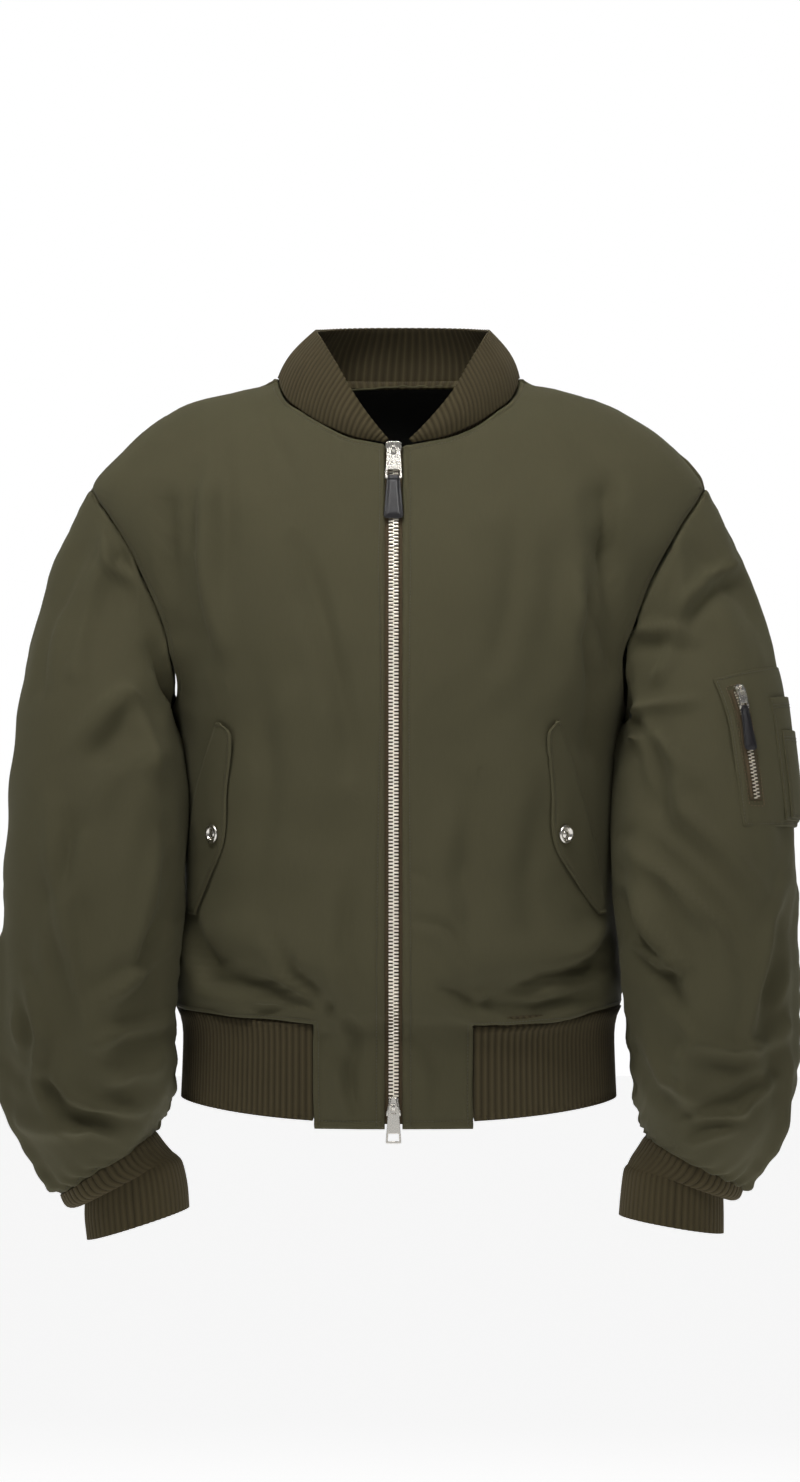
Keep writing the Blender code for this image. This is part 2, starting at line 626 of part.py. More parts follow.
def hem_surface(u, v):
    """u from the right front's tail round the back to the left's, v from the seam down."""
    share = abs(2 * u - 1)
    sign = 1.0 if u > 0.5 else -1.0
    first = sign * ZIP_X + TAIL_WIDTH + SEAM
    turn = min(math.pi / 2, mix(math.pi, turn_at(first, HEM_SEAM), share))
    level = mix(seam_level_at(turn) - SEAM, hem_level_at(turn), v)
    turn = mix(math.pi, turn_at(first, level), share)
    if turn > math.pi / 2:
        return torso_point(True, sign * (math.pi - turn), level)
    return torso_point(False, sign * turn, level)


def make_knit():
    knit("collar", COLLAR_RIBS, 3, outward(collar_surface, (0.0, 0.0, 0.0)), KNIT_OLIVE, closed=False)
    knit("hem_rib", HEM_RIBS, 2, outward(hem_surface, (0.0, 0.0, -0.55)), KNIT_OLIVE, closed=False)


# ---- sleeves and cuffs ---------------------------------------------------------------------------
SLEEVE_ROWS = 22
SLEEVE_HEART = (0.25, 0.0, -0.42)


def ring_point(ring, turn):
    """A point of a ring; turn runs from the outer point (0) over the front (0.25) to the inner one."""
    outer_x, outer_z, inner_x, inner_z, middle_y, half_depth = ring
    cosine, sine = math.cos(2 * math.pi * turn), math.sin(2 * math.pi * turn)
    squared = [math.copysign(abs(part) ** 0.92, part) for part in (cosine, sine)]
    x = (outer_x + inner_x) / 2 + (outer_x - inner_x) / 2 * squared[0]
    z = (outer_z + inner_z) / 2 + (outer_z - inner_z) / 2 * squared[0]
    return Vector((x, middle_y - half_depth * squared[1], z))


def armhole_point(sign, turn):
    """The armhole as the sleeve meets it, as if on the wearer's left; turn as for a ring."""
    back = turn % 1.0 > 0.5
    angle, level = armhole_turn(back, 1 - abs(1 - 2 * (turn % 1.0)))
    point = torso_point(back, sign * angle, level)
    return Vector((sign * point.x + 2 * SEAM, point.y - (HALF_SEAM if back else -HALF_SEAM), point.z))


def sleeve_surface(side):
    """surface(u, v) of a whole sleeve: u round the arm as a ring's turn, v from armhole to cuff."""
    sign = SIDES[side]
    table = SLEEVE[side]
    first, below_first = read(table, 0.0), read(table, 0.02)

    def plain(u, v):
        if v >= SLEEVE_CAP_SHARE:
            point = ring_point(read(table, (v - SLEEVE_CAP_SHARE) / (1 - SLEEVE_CAP_SHARE)), u)
        else:
            share = v / SLEEVE_CAP_SHARE
            start, end = armhole_point(sign, u), ring_point(first, u)
            reach = (end - start).length
            over = 0.5 + 0.5 * math.cos(2 * math.pi * u)
            leave = Vector((mix(0.25, 0.62, over), 0.0, -mix(0.9, 0.95, over))) * reach
            arrive = (ring_point(below_first, u) - end).normalized() * 0.95 * reach
            square, cube = share ** 2, share ** 3
            point = start * (2 * cube - 3 * square + 1) + end * (3 * square - 2 * cube)
            point += leave * (cube - 2 * square + share) + arrive * (cube - square)
        return Vector((sign * point.x, point.y, point.z))

    def surface(u, v):
        point = plain(u, v)
        depth = 0.0
        for u0, v0, u1, v1, width, height in SLEEVE_FOLDS[side]:
            reach = to_segment(u * 0.49, v * 0.60, u0 * 0.49, v0 * 0.60, u1 * 0.49, v1 * 0.60) / width
            if reach < 3:
                depth += height * math.exp(-reach * reach)
        fade = min(1.0, v / 0.06, (1 - v) / 0.05) if 0 < v < 1 else 0.0
        step = 0.004
        out = (plain(u + step, v) - plain(u - step, v)).cross(plain(u, v + step) - plain(u, v - step))
        return point + out.normalized() * (depth * fade * -sign)

    return surface


def cuff_surface(side):
    sign = SIDES[side]

    def surface(u, v):
        point = ring_point(read(CUFF[side], v), u)
        return Vector((sign * point.x, point.y, point.z))

    return surface


def make_sleeves():
    """Each sleeve is a front and a back half, seamed over and under the arm, and a knit cuff."""
    for side, sign in SIDES.items():
        whole = sleeve_surface(side)
        heart = (sign * SLEEVE_HEART[0], SLEEVE_HEART[1], SLEEVE_HEART[2])
        for half, start, apart in (("front", 0.0, -HALF_SEAM), ("back", 0.5, HALF_SEAM)):
            def part(u, v, start=start, apart=apart):
                return whole(start + 0.5 * u, v) + Vector((0.0, apart, 0.0))
            cloth("sleeve_" + half + "_" + side, SLEEVE_COLUMNS, SLEEVE_ROWS, outward(part, heart), OLIVE)
        cuff_heart = (sign * 0.21, -0.028, -0.65)
        knit("cuff_" + side, CUFF_RIBS, 5, outward(cuff_surface(side), cuff_heart), KNIT_OLIVE, closed=True)


# ---- what lies on the fronts: zip, pocket flaps, snaps -------------------------------------------
def front_out(x, level, distance):
    """A point of the fronts, x across and `distance` proud of the cloth."""
    return torso_out(False, turn_at(x, level), level, distance)


def zip_level(share):
    """Levels down the zip, spaced as the rows of the fronts beside it."""
    body_rows = PANEL_ROWS / (PANEL_ROWS + TAIL_ROWS)
    if share < body_rows:
        return mix(FRONT_NECK[0][2], HEM_SEAM, share / body_rows)
    return mix(HEM_SEAM, FRONT_TAIL, (share - body_rows) / (1 - body_rows))


def make_zip():
    """Two tapes behind the fronts' edges, and the closed chain of teeth between them."""
    rows = PANEL_ROWS + TAIL_ROWS
    chain_edge = CHAIN_WIDTH / 2
    for side, sign in SIDES.items():
        def tape(u, v, distance, sign=sign):
            x = ZIP_X + sign * (chain_edge + SEAM + TAPE_WIDTH * u)
            return front_out(x, zip_level(v), distance)
        cloth("zip_tape_" + side, 1, rows, tape, TAPE_BROWN, TAPE_THICK, lift=-SHELL - 2 * LIFT)

    def chain(u, v, distance):
        return front_out(ZIP_X + CHAIN_WIDTH * (u - 0.5), zip_level(v), distance)
    cloth("zip_teeth", 1, rows, chain, SILVER, CHAIN_THICK, lift=CHAIN_PROUD)


def make_flaps():
    """A slanted flap over each hand pocket, closed by a ring snap."""
    for side, sign in SIDES.items():
        def flap(u, v, distance, side=side):
            level, free, sewn = read(FLAPS[side], v)
            return front_out(mix(free, sewn, u), level, distance)
        cloth("pocket_flap_" + side, 3, 11, flap, OLIVE, lift=SHELL + FLAP_LIFT)
        x, level = SNAPS[side]
        seat = on_surface(front_out, x, level, SHELL + FLAP_LIFT + LIFT + SNAP_HEIGHT / 2)
        turned("snap_" + side, SNAP_RADIUS, SNAP_HEIGHT, seat, SILVER)


def on_surface(place, a, b, distance, step=0.004):
    """Axes at a point of a surface: X across it, -Z down it, -Y out of it."""
    out = (place(a, b, distance + step) - place(a, b, distance)).normalized()
    across = Vector((0.0, 0.0, 1.0)).cross(-out).normalized() * -1.0
    axes = Matrix((across, -out, across.cross(-out))).transposed().to_4x4()
    axes.translation = place(a, b, distance)
    return axes


def turned(name, radius, height, seat, material):
    """A low round piece whose axis is the seat's Y."""
    bm = bmesh.new()
    bmesh.ops.create_cone(bm, cap_ends=True, segments=20, radius1=radius * 0.86, radius2=radius,
                          depth=height, matrix=Matrix.Rotation(math.radians(-90), 4, "X"))
    piece = keep_bmesh(name, bm, material)
    piece.matrix_world = seat
    return piece


# ---- zip sliders and pulls -----------------------------------------------------------------------
def plate(name, outlines, thickness, material, across_x=False):
    """A flat plate from outlines in its own XZ plane (the first is its edge, the others holes)."""
    curve = bpy.data.curves.new(name, "CURVE")
    curve.dimensions = "2D"
    curve.fill_mode = "BOTH"
    curve.extrude = thickness / 2
    for outline in outlines:
        spline = curve.splines.new("POLY")
        spline.points.add(len(outline) - 1)
        for point, (x, z) in zip(spline.points, outline):
            point.co = (x, z, 0.0, 1.0)
        spline.use_cyclic_u = True
    holder = bpy.data.objects.new(name, curve)
    bpy.context.scene.collection.objects.link(holder)
    bpy.context.view_layer.update()
    mesh = bpy.data.meshes.new_from_object(holder.evaluated_get(bpy.context.evaluated_depsgraph_get()))
    bpy.data.objects.remove(holder)
    bm = bmesh.new()
    bm.from_mesh(mesh)
    bmesh.ops.remove_doubles(bm, verts=bm.verts[:], dist=0.00001)
    stand = Matrix.Rotation(math.radians(90), 4, "X")
    if across_x:
        stand = Matrix.Rotation(math.radians(90), 4, "Z") @ stand
    bmesh.ops.transform(bm, matrix=stand, verts=bm.verts[:])
    bpy.data.meshes.remove(mesh)
    return keep_bmesh(name, bm, material)


def arc(middle_x, middle_z, radius, start, end, count):
    angles = [math.radians(mix(start, end, k / (count - 1))) for k in range(count)]
    return [(middle_x + radius * math.cos(a), middle_z + radius * math.sin(a)) for a in angles]


def slider(name, seat, width, height, material):
    """A slider's face plate with the bridge that its pull hangs on; seat is at the pull's hinge."""
    bm = bmesh.new()
    bmesh.ops.create_cube(bm, size=1.0)
    bmesh.ops.scale(bm, vec=(width, SLIDER_THICK, height), verts=bm.verts[:])
    drop = BRIDGE_RISE + SLIDER_THICK / 2
    bmesh.ops.translate(bm, vec=(0.0, drop, 0.0), verts=bm.verts[:])
    upright = [e for e in bm.edges if abs(e.verts[0].co.y - e.verts[1].co.y) > SLIDER_THICK / 2]
    bmesh.ops.bevel(bm, geom=upright, offset=0.0018, segments=2, profile=0.5, affect="EDGES", material=-1)
    face = keep_bmesh(name, bm, material)
    sunk = BRIDGE_RISE + SLIDER_THICK / 2
    outline = [(sunk, -BRIDGE_OUTER)] + arc(0, 0, BRIDGE_OUTER, -90, -270, 9) + [(sunk, BRIDGE_OUTER)]
    outline += [(sunk, BRIDGE_INNER)] + arc(0, 0, BRIDGE_INNER, 90, 270, 9) + [(sunk, -BRIDGE_INNER)]
    bridge = plate(name + "_bridge", [outline], BRIDGE_WIDTH, material, across_x=True)
    JACKET.objects.unlink(bridge)
    CUTTERS.objects.link(bridge)
    bridge.hide_render = True
    bridge.display_type = "WIRE"
    joined = face.modifiers.new("bridge", "BOOLEAN")
    joined.operation = "UNION"
    joined.object = bridge
    for piece in (face, bridge):
        piece.matrix_world = seat
    return face


def pull_outline(top, bottom, length, window=None):
    """Edge of a pull plate that hangs from its hinge, its slot, and a window near its lower end."""
    outlines = [[(-top / 2, PULL_BAR), (top / 2, PULL_BAR), (bottom / 2, PULL_BAR - length),
                 (-bottom / 2, PULL_BAR - length)]]
    slot = PULL_SLOT / 2
    outlines.append([(-slot, -PULL_BAR), (-slot, -PULL_BAR - SLOT_LENGTH),
                     (slot, -PULL_BAR - SLOT_LENGTH), (slot, -PULL_BAR)])
    if window:
        wide, low, high = window
        outlines.append([(-wide / 2, low), (wide / 2, low), (wide / 2, high), (-wide / 2, high)])
    return outlines


def resting_angle(place, hinge, down, out, length, half_width, half_thick):
    """How far a pull must stand off `down`, towards `out`, to clear the cloth by PULL_CLEARANCE."""
    steepest = -1.0
    for k in range(4, 25):
        for offset in (-half_width, 0.0, half_width):
            reach = length * k / 24
            point = place(offset, reach)
            ahead = (point - hinge).dot(down)
            rise = (point - hinge).dot(out) + PULL_CLEARANCE + half_thick
            if ahead > 0.004:
                steepest = max(steepest, math.atan2(rise, ahead))
    return steepest


def make_main_pulls():
    """The top slider with a metal pull and leather tab, and the bottom slider with a plain pull."""
    top_seat = on_surface(front_out, ZIP_X, TOP_SLIDER_LEVEL, PULL_AXIS_HEIGHT)
    slider("zip_slider_top", top_seat, 0.0124, 0.0100, SILVER)
    hinge = top_seat.translation

    def cloth_below(offset, reach):
        return front_out(ZIP_X + offset, hinge.z - reach, CHAIN_PROUD)

    length = TOP_METAL_LENGTH + TOP_LEATHER_LENGTH - PULL_BAR
    angle = resting_angle(cloth_below, hinge, Vector((0, 0, -1)), Vector((0, -1, 0)), length,
                          TOP_LEATHER_WIDTH / 2, LEATHER_THICK / 2)
    hang = Matrix.Translation(hinge) @ Matrix.Rotation(-angle, 4, "X")
    metal = plate("zip_pull_top", pull_outline(0.0098, 0.0139, TOP_METAL_LENGTH,
                  (0.0092, PULL_BAR - TOP_METAL_LENGTH + 0.0018, PULL_BAR - TOP_METAL_LENGTH + 0.0080)),
                  PULL_THICK, SILVER)
    metal.matrix_world = hang
    start = PULL_BAR - TOP_METAL_LENGTH - SEAM
    end = start - TOP_LEATHER_LENGTH
    edge = [(-0.0054, start), (0.0054, start), (TOP_LEATHER_WIDTH / 2, end + 0.002),
            (TOP_LEATHER_WIDTH / 2 - 0.002, end), (0.002 - TOP_LEATHER_WIDTH / 2, end),
            (-TOP_LEATHER_WIDTH / 2, end + 0.002)]
    tab = plate("zip_tab_top", [edge], LEATHER_THICK, LEATHER)
    tab.matrix_world = hang

    low_seat = on_surface(front_out, ZIP_X, LOW_SLIDER_LEVEL, PULL_AXIS_HEIGHT)
    slider("zip_slider_bottom", low_seat, 0.0100, 0.0130, SILVER)
    pull = plate("zip_pull_bottom", pull_outline(0.0078, 0.0124, LOW_METAL_LENGTH,
                 (0.0082, PULL_BAR - LOW_METAL_LENGTH + 0.0018, PULL_BAR - LOW_METAL_LENGTH + 0.0076)),
                 PULL_THICK, SILVER)
    pull.matrix_world = Matrix.Translation(low_seat.translation)


# ---- the pocket on the left sleeve ---------------------------------------------------------------
def patch_place(corners, sleeve):
    """place(u, v, distance) over a patch given by its four corners on the sleeve."""
    def place(u, v, distance):
        (turn_a, down_a), (turn_b, down_b), (turn_c, down_c), (turn_d, down_d) = corners
        turn = mix(mix(turn_a, turn_b, u), mix(turn_d, turn_c, u), v)
        down = mix(mix(down_a, down_b, u), mix(down_d, down_c, u), v)
        return sleeve(turn, down, distance)
    return place


def make_sleeve_pocket():
    """A patch pocket with a slanted zip, and two pen pockets sewn one over the other beside it."""
    sleeve = outward(sleeve_surface("left"), SLEEVE_HEART)
    patch = patch_place(POCKET, sleeve)
    cloth("sleeve_pocket", 8, 8, patch, OLIVE, lift=SHELL + PATCH_LIFT)
    pens = 2 * SHELL + PATCH_LIFT + ON_PATCH_LIFT
    cloth("pen_pocket_back", 4, 5, patch_place(PEN_BACK, sleeve), OLIVE, lift=pens)
    cloth("pen_pocket_front", 4, 4, patch_place(PEN_FRONT, sleeve), OLIVE, lift=pens + SHELL + ON_PATCH_LIFT)
    line = patch_place(POCKET_ZIP, sleeve)
    teeth = pens + SLEEVE_TEETH_THICK - SHELL
    cloth("sleeve_zip_teeth", 1, 8, line, SILVER, SLEEVE_TEETH_THICK, lift=teeth)

    def on_line(u, v, distance):
        return line(0.5 + u, v, teeth + distance)
    top, bottom = on_line(0.0, 0.02, 0.0), on_line(0.0, 1.0, 0.0)
    hinge = on_line(0.0, 0.02, SLEEVE_AXIS_HEIGHT)
    out = (on_line(0.0, 0.3, 0.01) - on_line(0.0, 0.3, 0.0)).normalized()
    down = (bottom - top).normalized()
    across = down.cross(out).normalized()
    out = across.cross(down).normalized()
    seat = Matrix((-across, -out, -down)).transposed().to_4x4()
    seat.translation = hinge
    slider("sleeve_slider", seat, 0.0080, 0.0080, SILVER)

    def cloth_below(offset, reach):
        return on_line(offset / SLEEVE_ZIP_WIDTH, 0.02 + reach / (bottom - top).length, 0.0)

    length = SLEEVE_METAL_LENGTH + SLEEVE_LEATHER_LENGTH - PULL_BAR
    angle = resting_angle(cloth_below, hinge, down, out, length, SLEEVE_LEATHER_WIDTH / 2,
                          LEATHER_THICK / 2)
    hang = seat @ Matrix.Rotation(-angle, 4, "X")
    metal = plate("sleeve_pull", pull_outline(0.0070, 0.0086, SLEEVE_METAL_LENGTH), PULL_THICK, SILVER)
    metal.matrix_world = hang
    start = PULL_BAR - SLEEVE_METAL_LENGTH - SEAM
    end = start - SLEEVE_LEATHER_LENGTH
    half = SLEEVE_LEATHER_WIDTH / 2
    edge = [(-0.0036, start), (0.0036, start), (half, end + 0.0015), (half - 0.0015, end),
            (0.0015 - half, end), (-half, end + 0.0015)]
    tab = plate("sleeve_tab", [edge], LEATHER_THICK, LEATHER)
    tab.matrix_world = hang


# ---- build ---------------------------------------------------------------------------------------
for old in list(bpy.data.objects):
    bpy.data.objects.remove(old)
JACKET = bpy.data.collections.new("bomber_jacket")
bpy.context.scene.collection.children.link(JACKET)
OLIVE = finish("olive_shell", (0.068, 0.063, 0.036), 0.75)
KNIT_OLIVE = finish("olive_rib_knit", (0.040, 0.031, 0.017), 0.90)

SILVER = finish("silver_metal", (0.62, 0.60, 0.56), 0.30, metallic=1.0)
LEATHER = finish("black_leather", (0.012, 0.011, 0.012), 0.45)
TAPE_BROWN = finish("zip_tape", (0.075, 0.058, 0.030), 0.80)
CUTTERS = bpy.data.collections.new("cutters")
bpy.context.scene.collection.children.link(CUTTERS)

make_panels()
make_knit()
make_sleeves()
make_zip()
make_flaps()
make_main_pulls()
make_sleeve_pocket()
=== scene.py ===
"""Bomber jacket, worn and zipped: its cloth, knit, sewing, zip and trims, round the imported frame.

Metres, +Z up the wearer's body, the zip faces -Y and the wearer's left is +X.
"""

import json
import math
from types import SimpleNamespace

import bmesh
import bpy
import numpy as np
from mathutils import Matrix, Vector


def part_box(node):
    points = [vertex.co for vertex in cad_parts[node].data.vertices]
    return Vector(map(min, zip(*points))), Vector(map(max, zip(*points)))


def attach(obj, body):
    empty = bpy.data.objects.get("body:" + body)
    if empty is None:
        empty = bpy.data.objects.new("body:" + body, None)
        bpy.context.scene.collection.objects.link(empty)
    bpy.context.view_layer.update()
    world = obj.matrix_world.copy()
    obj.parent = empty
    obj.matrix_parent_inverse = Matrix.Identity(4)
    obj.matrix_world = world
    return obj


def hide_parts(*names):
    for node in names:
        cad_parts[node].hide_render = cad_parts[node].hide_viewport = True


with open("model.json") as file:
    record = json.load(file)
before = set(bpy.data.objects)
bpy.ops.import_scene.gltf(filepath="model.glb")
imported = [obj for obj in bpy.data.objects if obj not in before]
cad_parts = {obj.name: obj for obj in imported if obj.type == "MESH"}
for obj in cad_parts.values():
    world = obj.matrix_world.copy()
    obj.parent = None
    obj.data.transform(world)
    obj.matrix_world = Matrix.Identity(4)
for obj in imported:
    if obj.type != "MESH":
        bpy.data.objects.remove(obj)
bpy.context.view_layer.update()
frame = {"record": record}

# ---- studio --------------------------------------------------------------------------------------
# A long lens level with the waist, a pale floor where the wearer would stand, and soft light from
# large panels in front, above and to the sides.
lens = bpy.data.cameras.new("camera")
lens.lens = 127.5
lens.sensor_width = 36.0
lens.clip_end = 60.0
camera = bpy.data.objects.new("camera", lens)
camera.location = (0.001, -4.2, -0.290)
camera.rotation_euler = (math.radians(90), 0.0, 0.0)
bpy.context.scene.collection.objects.link(camera)
bpy.context.scene.camera = camera
bpy.context.scene.view_settings.view_transform = "Standard"

FLOOR_LEVEL = -1.45
FLOOR_RADIUS = 14.0


def show(name, bm, *materials):
    """Makes a finished bmesh an object at the origin."""
    mesh = bpy.data.meshes.new(name)
    bm.to_mesh(mesh)
    bm.free()
    for material in materials:
        mesh.materials.append(material)
    mesh.shade_smooth()
    piece = bpy.data.objects.new(name, mesh)
    bpy.context.scene.collection.objects.link(piece)
    return piece


def surface(name, colour=(0.5, 0.5, 0.5), **sockets):
    """A new material, its node tree and its Principled shader."""
    made = bpy.data.materials.new(name)
    made.use_nodes = True
    tree = made.node_tree
    shader = tree.nodes["Principled BSDF"]
    shader.inputs["Base Color"].default_value = (*colour, 1.0)
    for socket, value in sockets.items():
        shader.inputs[socket.replace("_", " ").title().replace("Ior", "IOR")].default_value = value
    return made, tree, shader


def node(tree, kind, *links, **settings):
    """A node with its settings, and its inputs linked (or set) in order; None leaves one as it is."""
    made = tree.nodes.new("ShaderNode" + kind)
    for name, value in settings.items():
        setattr(made, name, value)
    for socket, source in zip(made.inputs, links):
        if isinstance(source, bpy.types.NodeSocket):
            tree.links.new(source, socket)
        elif source is not None:
            socket.default_value = source
    return made.outputs[0]


pale, _, _ = surface("pale_floor", (0.90, 0.90, 0.90), roughness=0.9, emission_color=(1.0, 1.0, 1.0, 1.0),
                     emission_strength=0.78)
bm = bmesh.new()
bmesh.ops.create_circle(bm, cap_ends=True, segments=96, radius=FLOOR_RADIUS,
                        matrix=Matrix.Translation((0.0, 0.0, FLOOR_LEVEL)))
show("floor", bm, pale)

# the studio's own light: a bright wall behind the jacket, dim elsewhere
sky = bpy.data.worlds.new("studio")
sky.use_nodes = True
sky_tree = sky.node_tree
way = node(sky_tree, "SeparateXYZ", sky_tree.nodes.new("ShaderNodeTexCoord").outputs["Generated"])
behind = node(sky_tree, "MapRange", way.node.outputs["Y"], 0.80, 0.95, 0.12, 1.0)
sky_tree.links.new(behind, sky_tree.nodes["Background"].inputs["Strength"])
sky_tree.nodes["Background"].inputs["Color"].default_value = (1.0, 1.0, 1.0, 1.0)
bpy.context.scene.world = sky

# name, place, what it is aimed at, size across and up, spread in degrees, strength in watts, colour
PANELS = (
    ("key", (-0.9, -1.5, 2.1), (-0.02, 0.0, -0.10), 0.8, 0.5, 30.0, 1.50, (1.0, 0.99, 0.965)),
    ("fill", (0.9, -1.9, 1.9), (0.0, 0.0, -0.12), 0.8, 0.5, 28.0, 0.70, (1.0, 0.99, 0.97)),
    ("top", (0.0, -0.7, 1.7), (0.0, 0.0, -0.1), 1.0, 0.5, 110.0, 3.8, (1.0, 1.0, 1.0)),
    ("back", (0.3, 3.2, 1.4), (0.0, 0.0, -0.3), 2.6, 2.0, 180.0, 24.0, (1.0, 1.0, 1.0)),
)
for name, place, aim, across, up, spread, watts, colour in PANELS:
    light = bpy.data.lights.new(name, "AREA")
    light.shape = "RECTANGLE"
    light.size, light.size_y = across, up
    light.spread = math.radians(spread)
    light.energy = watts
    light.color = colour
    lamp = bpy.data.objects.new(name, light)
    lamp.location = place
    lamp.rotation_euler = (Vector(aim) - Vector(place)).to_track_quat("-Z", "Y").to_euler()
    bpy.context.scene.collection.objects.link(lamp)

# ---- back panel ----------------------------------------------------------------------------------
# One piece of matt cotton and nylon shell cloth from side seam to side seam. It hangs from the
# shoulders, blouses over the knit hem, and has drag folds towards the armholes.
SHELL = 0.0015            # shell cloth with what backs it
HALF_SEAM = 0.0002        # how far each side of a seam stands off it
SEAM = 0.0003             # gap between two pieces at a seam
HEM_SEAM = -0.511         # where the cloth meets the knit hem, at the front
HEM_SEAM_RISE = 0.009     # how much higher that seam is at the sides and behind
BACK_NECK = -0.0005       # level of the back's neck seam
ARMHOLE_STITCH = 0.0060   # topstitching from the edge: round the armholes,
NECK_STITCH = 0.0045      # round the neck
WAIST_STITCH = 0.0050     # and above the knit hem, at the back

# level, half width, front depth, back depth, squareness of the section, depth of its widest point
TORSO = (
    (0.0060, 0.0900, 0.0020, 0.0760, 2.00, 0.0000),
    (0.0000, 0.0970, 0.0060, 0.0800, 2.00, 0.0000),
    (-0.0060, 0.1110, 0.0200, 0.0870, 2.00, 0.0000),
    (-0.0180, 0.1580, 0.0400, 0.0970, 2.00, 0.0000),
    (-0.0380, 0.1975, 0.0690, 0.1070, 2.05, 0.0000),
    (-0.0570, 0.2205, 0.0860, 0.1130, 2.10, 0.0000),
    (-0.0880, 0.2460, 0.1020, 0.1190, 2.15, 0.0010),
    (-0.1250, 0.2410, 0.1160, 0.1240, 2.25, 0.0040),
    (-0.1650, 0.2225, 0.1270, 0.1265, 2.30, 0.0080),
    (-0.2100, 0.2045, 0.1345, 0.1260, 2.30, 0.0130),
    (-0.2650, 0.1825, 0.1380, 0.1210, 2.30, 0.0180),
    (-0.2950, 0.1755, 0.1385, 0.1175, 2.30, 0.0200),
    (-0.3300, 0.1735, 0.1390, 0.1140, 2.30, 0.0220),
    (-0.4000, 0.1735, 0.1410, 0.1120, 2.30, 0.0250),
    (-0.4500, 0.1785, 0.1460, 0.1180, 2.30, 0.0250),
    (-0.4800, 0.1815, 0.1470, 0.1200, 2.30, 0.0250),
    (-0.5000, 0.1790, 0.1400, 0.1150, 2.30, 0.0240),
    (-0.5120, 0.1740, 0.1300, 0.1080, 2.30, 0.0230),
    (-0.5300, 0.1725, 0.1265, 0.1060, 2.30, 0.0220),
    (-0.6200, 0.1765, 0.1270, 0.1070, 2.30, 0.0220),
)
# share of the way down the armhole, level, distance from the middle in front and behind
ARMHOLE = (
    (0.00, -0.0880, 0.2460, 0.2460),
    (0.10, -0.1010, 0.2385, 0.2400),
    (0.25, -0.1230, 0.2230, 0.2260),
    (0.40, -0.1500, 0.2080, 0.2120),
    (0.55, -0.1800, 0.1940, 0.1985),
    (0.70, -0.2120, 0.1840, 0.1885),
    (0.82, -0.2370, 0.1790, 0.1825),
    (0.93, -0.2570, 0.1790, 0.1805),
    (1.00, -0.2650, 0.1825, 0.1825),
)
# share of the way along the shoulder seam, its level
SHOULDER_LEVELS = (
    (0.00, 0.0000), (0.20, -0.0060), (0.40, -0.0180), (0.60, -0.0340), (0.80, -0.0560), (1.00, -0.0880),
)
# shares of a panel's side edge: the end of the shoulder seam and the armpit
SHOULDER_END = 5 / 23
ARMPIT = 15 / 23

# large folds: ends (across, level), half width and how far out (+) or in (-) the cloth goes
BACK_FOLDS = (
    (-0.190, -0.120, -0.178, -0.230, 0.0170, -0.0070),
    (0.186, -0.120, 0.180, -0.225, 0.0170, -0.0070),
    (-0.160, -0.120, -0.154, -0.250, 0.0170, 0.0050),
    (0.156, -0.125, 0.150, -0.260, 0.0170, 0.0050),
    (-0.110, -0.180, -0.060, -0.430, 0.0280, 0.0055),
    (0.040, -0.160, 0.085, -0.420, 0.0300, 0.0055),
    (-0.020, -0.240, -0.010, -0.440, 0.0220, -0.0050),
    (0.120, -0.280, 0.110, -0.430, 0.0200, -0.0045),
    (-0.130, -0.470, -0.030, -0.480, 0.0150, -0.0065),
    (0.020, -0.478, 0.130, -0.468, 0.0150, -0.0065),
    (-0.080, -0.445, 0.060, -0.450, 0.0160, 0.0050),
)
CREASE_STRENGTH = 1.35    # of every finer crease
# finer creases: points (across, level) along each, its half width, its depth, and how strong a ridge
# stands beside it (on the side to the right of its way for +, to the left for -)
BACK_CREASES = (
    (((-0.196, -0.150), (-0.186, -0.205), (-0.172, -0.245)), 0.0060, 0.0045, 0.7),
    (((0.198, -0.150), (0.186, -0.210), (0.170, -0.250)), 0.0060, 0.0048, -0.7),
    (((-0.150, -0.440), (-0.110, -0.470), (-0.060, -0.492)), 0.0065, 0.0054, 0.8),
    (((0.155, -0.452), (0.110, -0.474), (0.045, -0.490)), 0.0065, 0.0054, -0.8),
    (((-0.020, -0.470), (0.010, -0.486), (0.050, -0.500)), 0.0050, 0.0035, 0.6),
    (((-0.060, -0.100), (-0.075, -0.200), (-0.070, -0.300)), 0.0120, 0.0035, 0.5),
    (((0.070, -0.080), (0.060, -0.190), (0.075, -0.310)), 0.0130, 0.0035, -0.5),
    (((-0.165, -0.300), (-0.140, -0.380), (-0.145, -0.440)), 0.0100, 0.0042, 0.6),
    (((0.160, -0.290), (0.140, -0.370), (0.150, -0.430)), 0.0100, 0.0042, -0.6),
    (((-0.100, -0.478), (-0.095, -0.495), (-0.085, -0.505)), 0.0045, 0.0032, 0.5),
    (((0.100, -0.480), (0.092, -0.496), (0.090, -0.506)), 0.0045, 0.0032, -0.5),
)


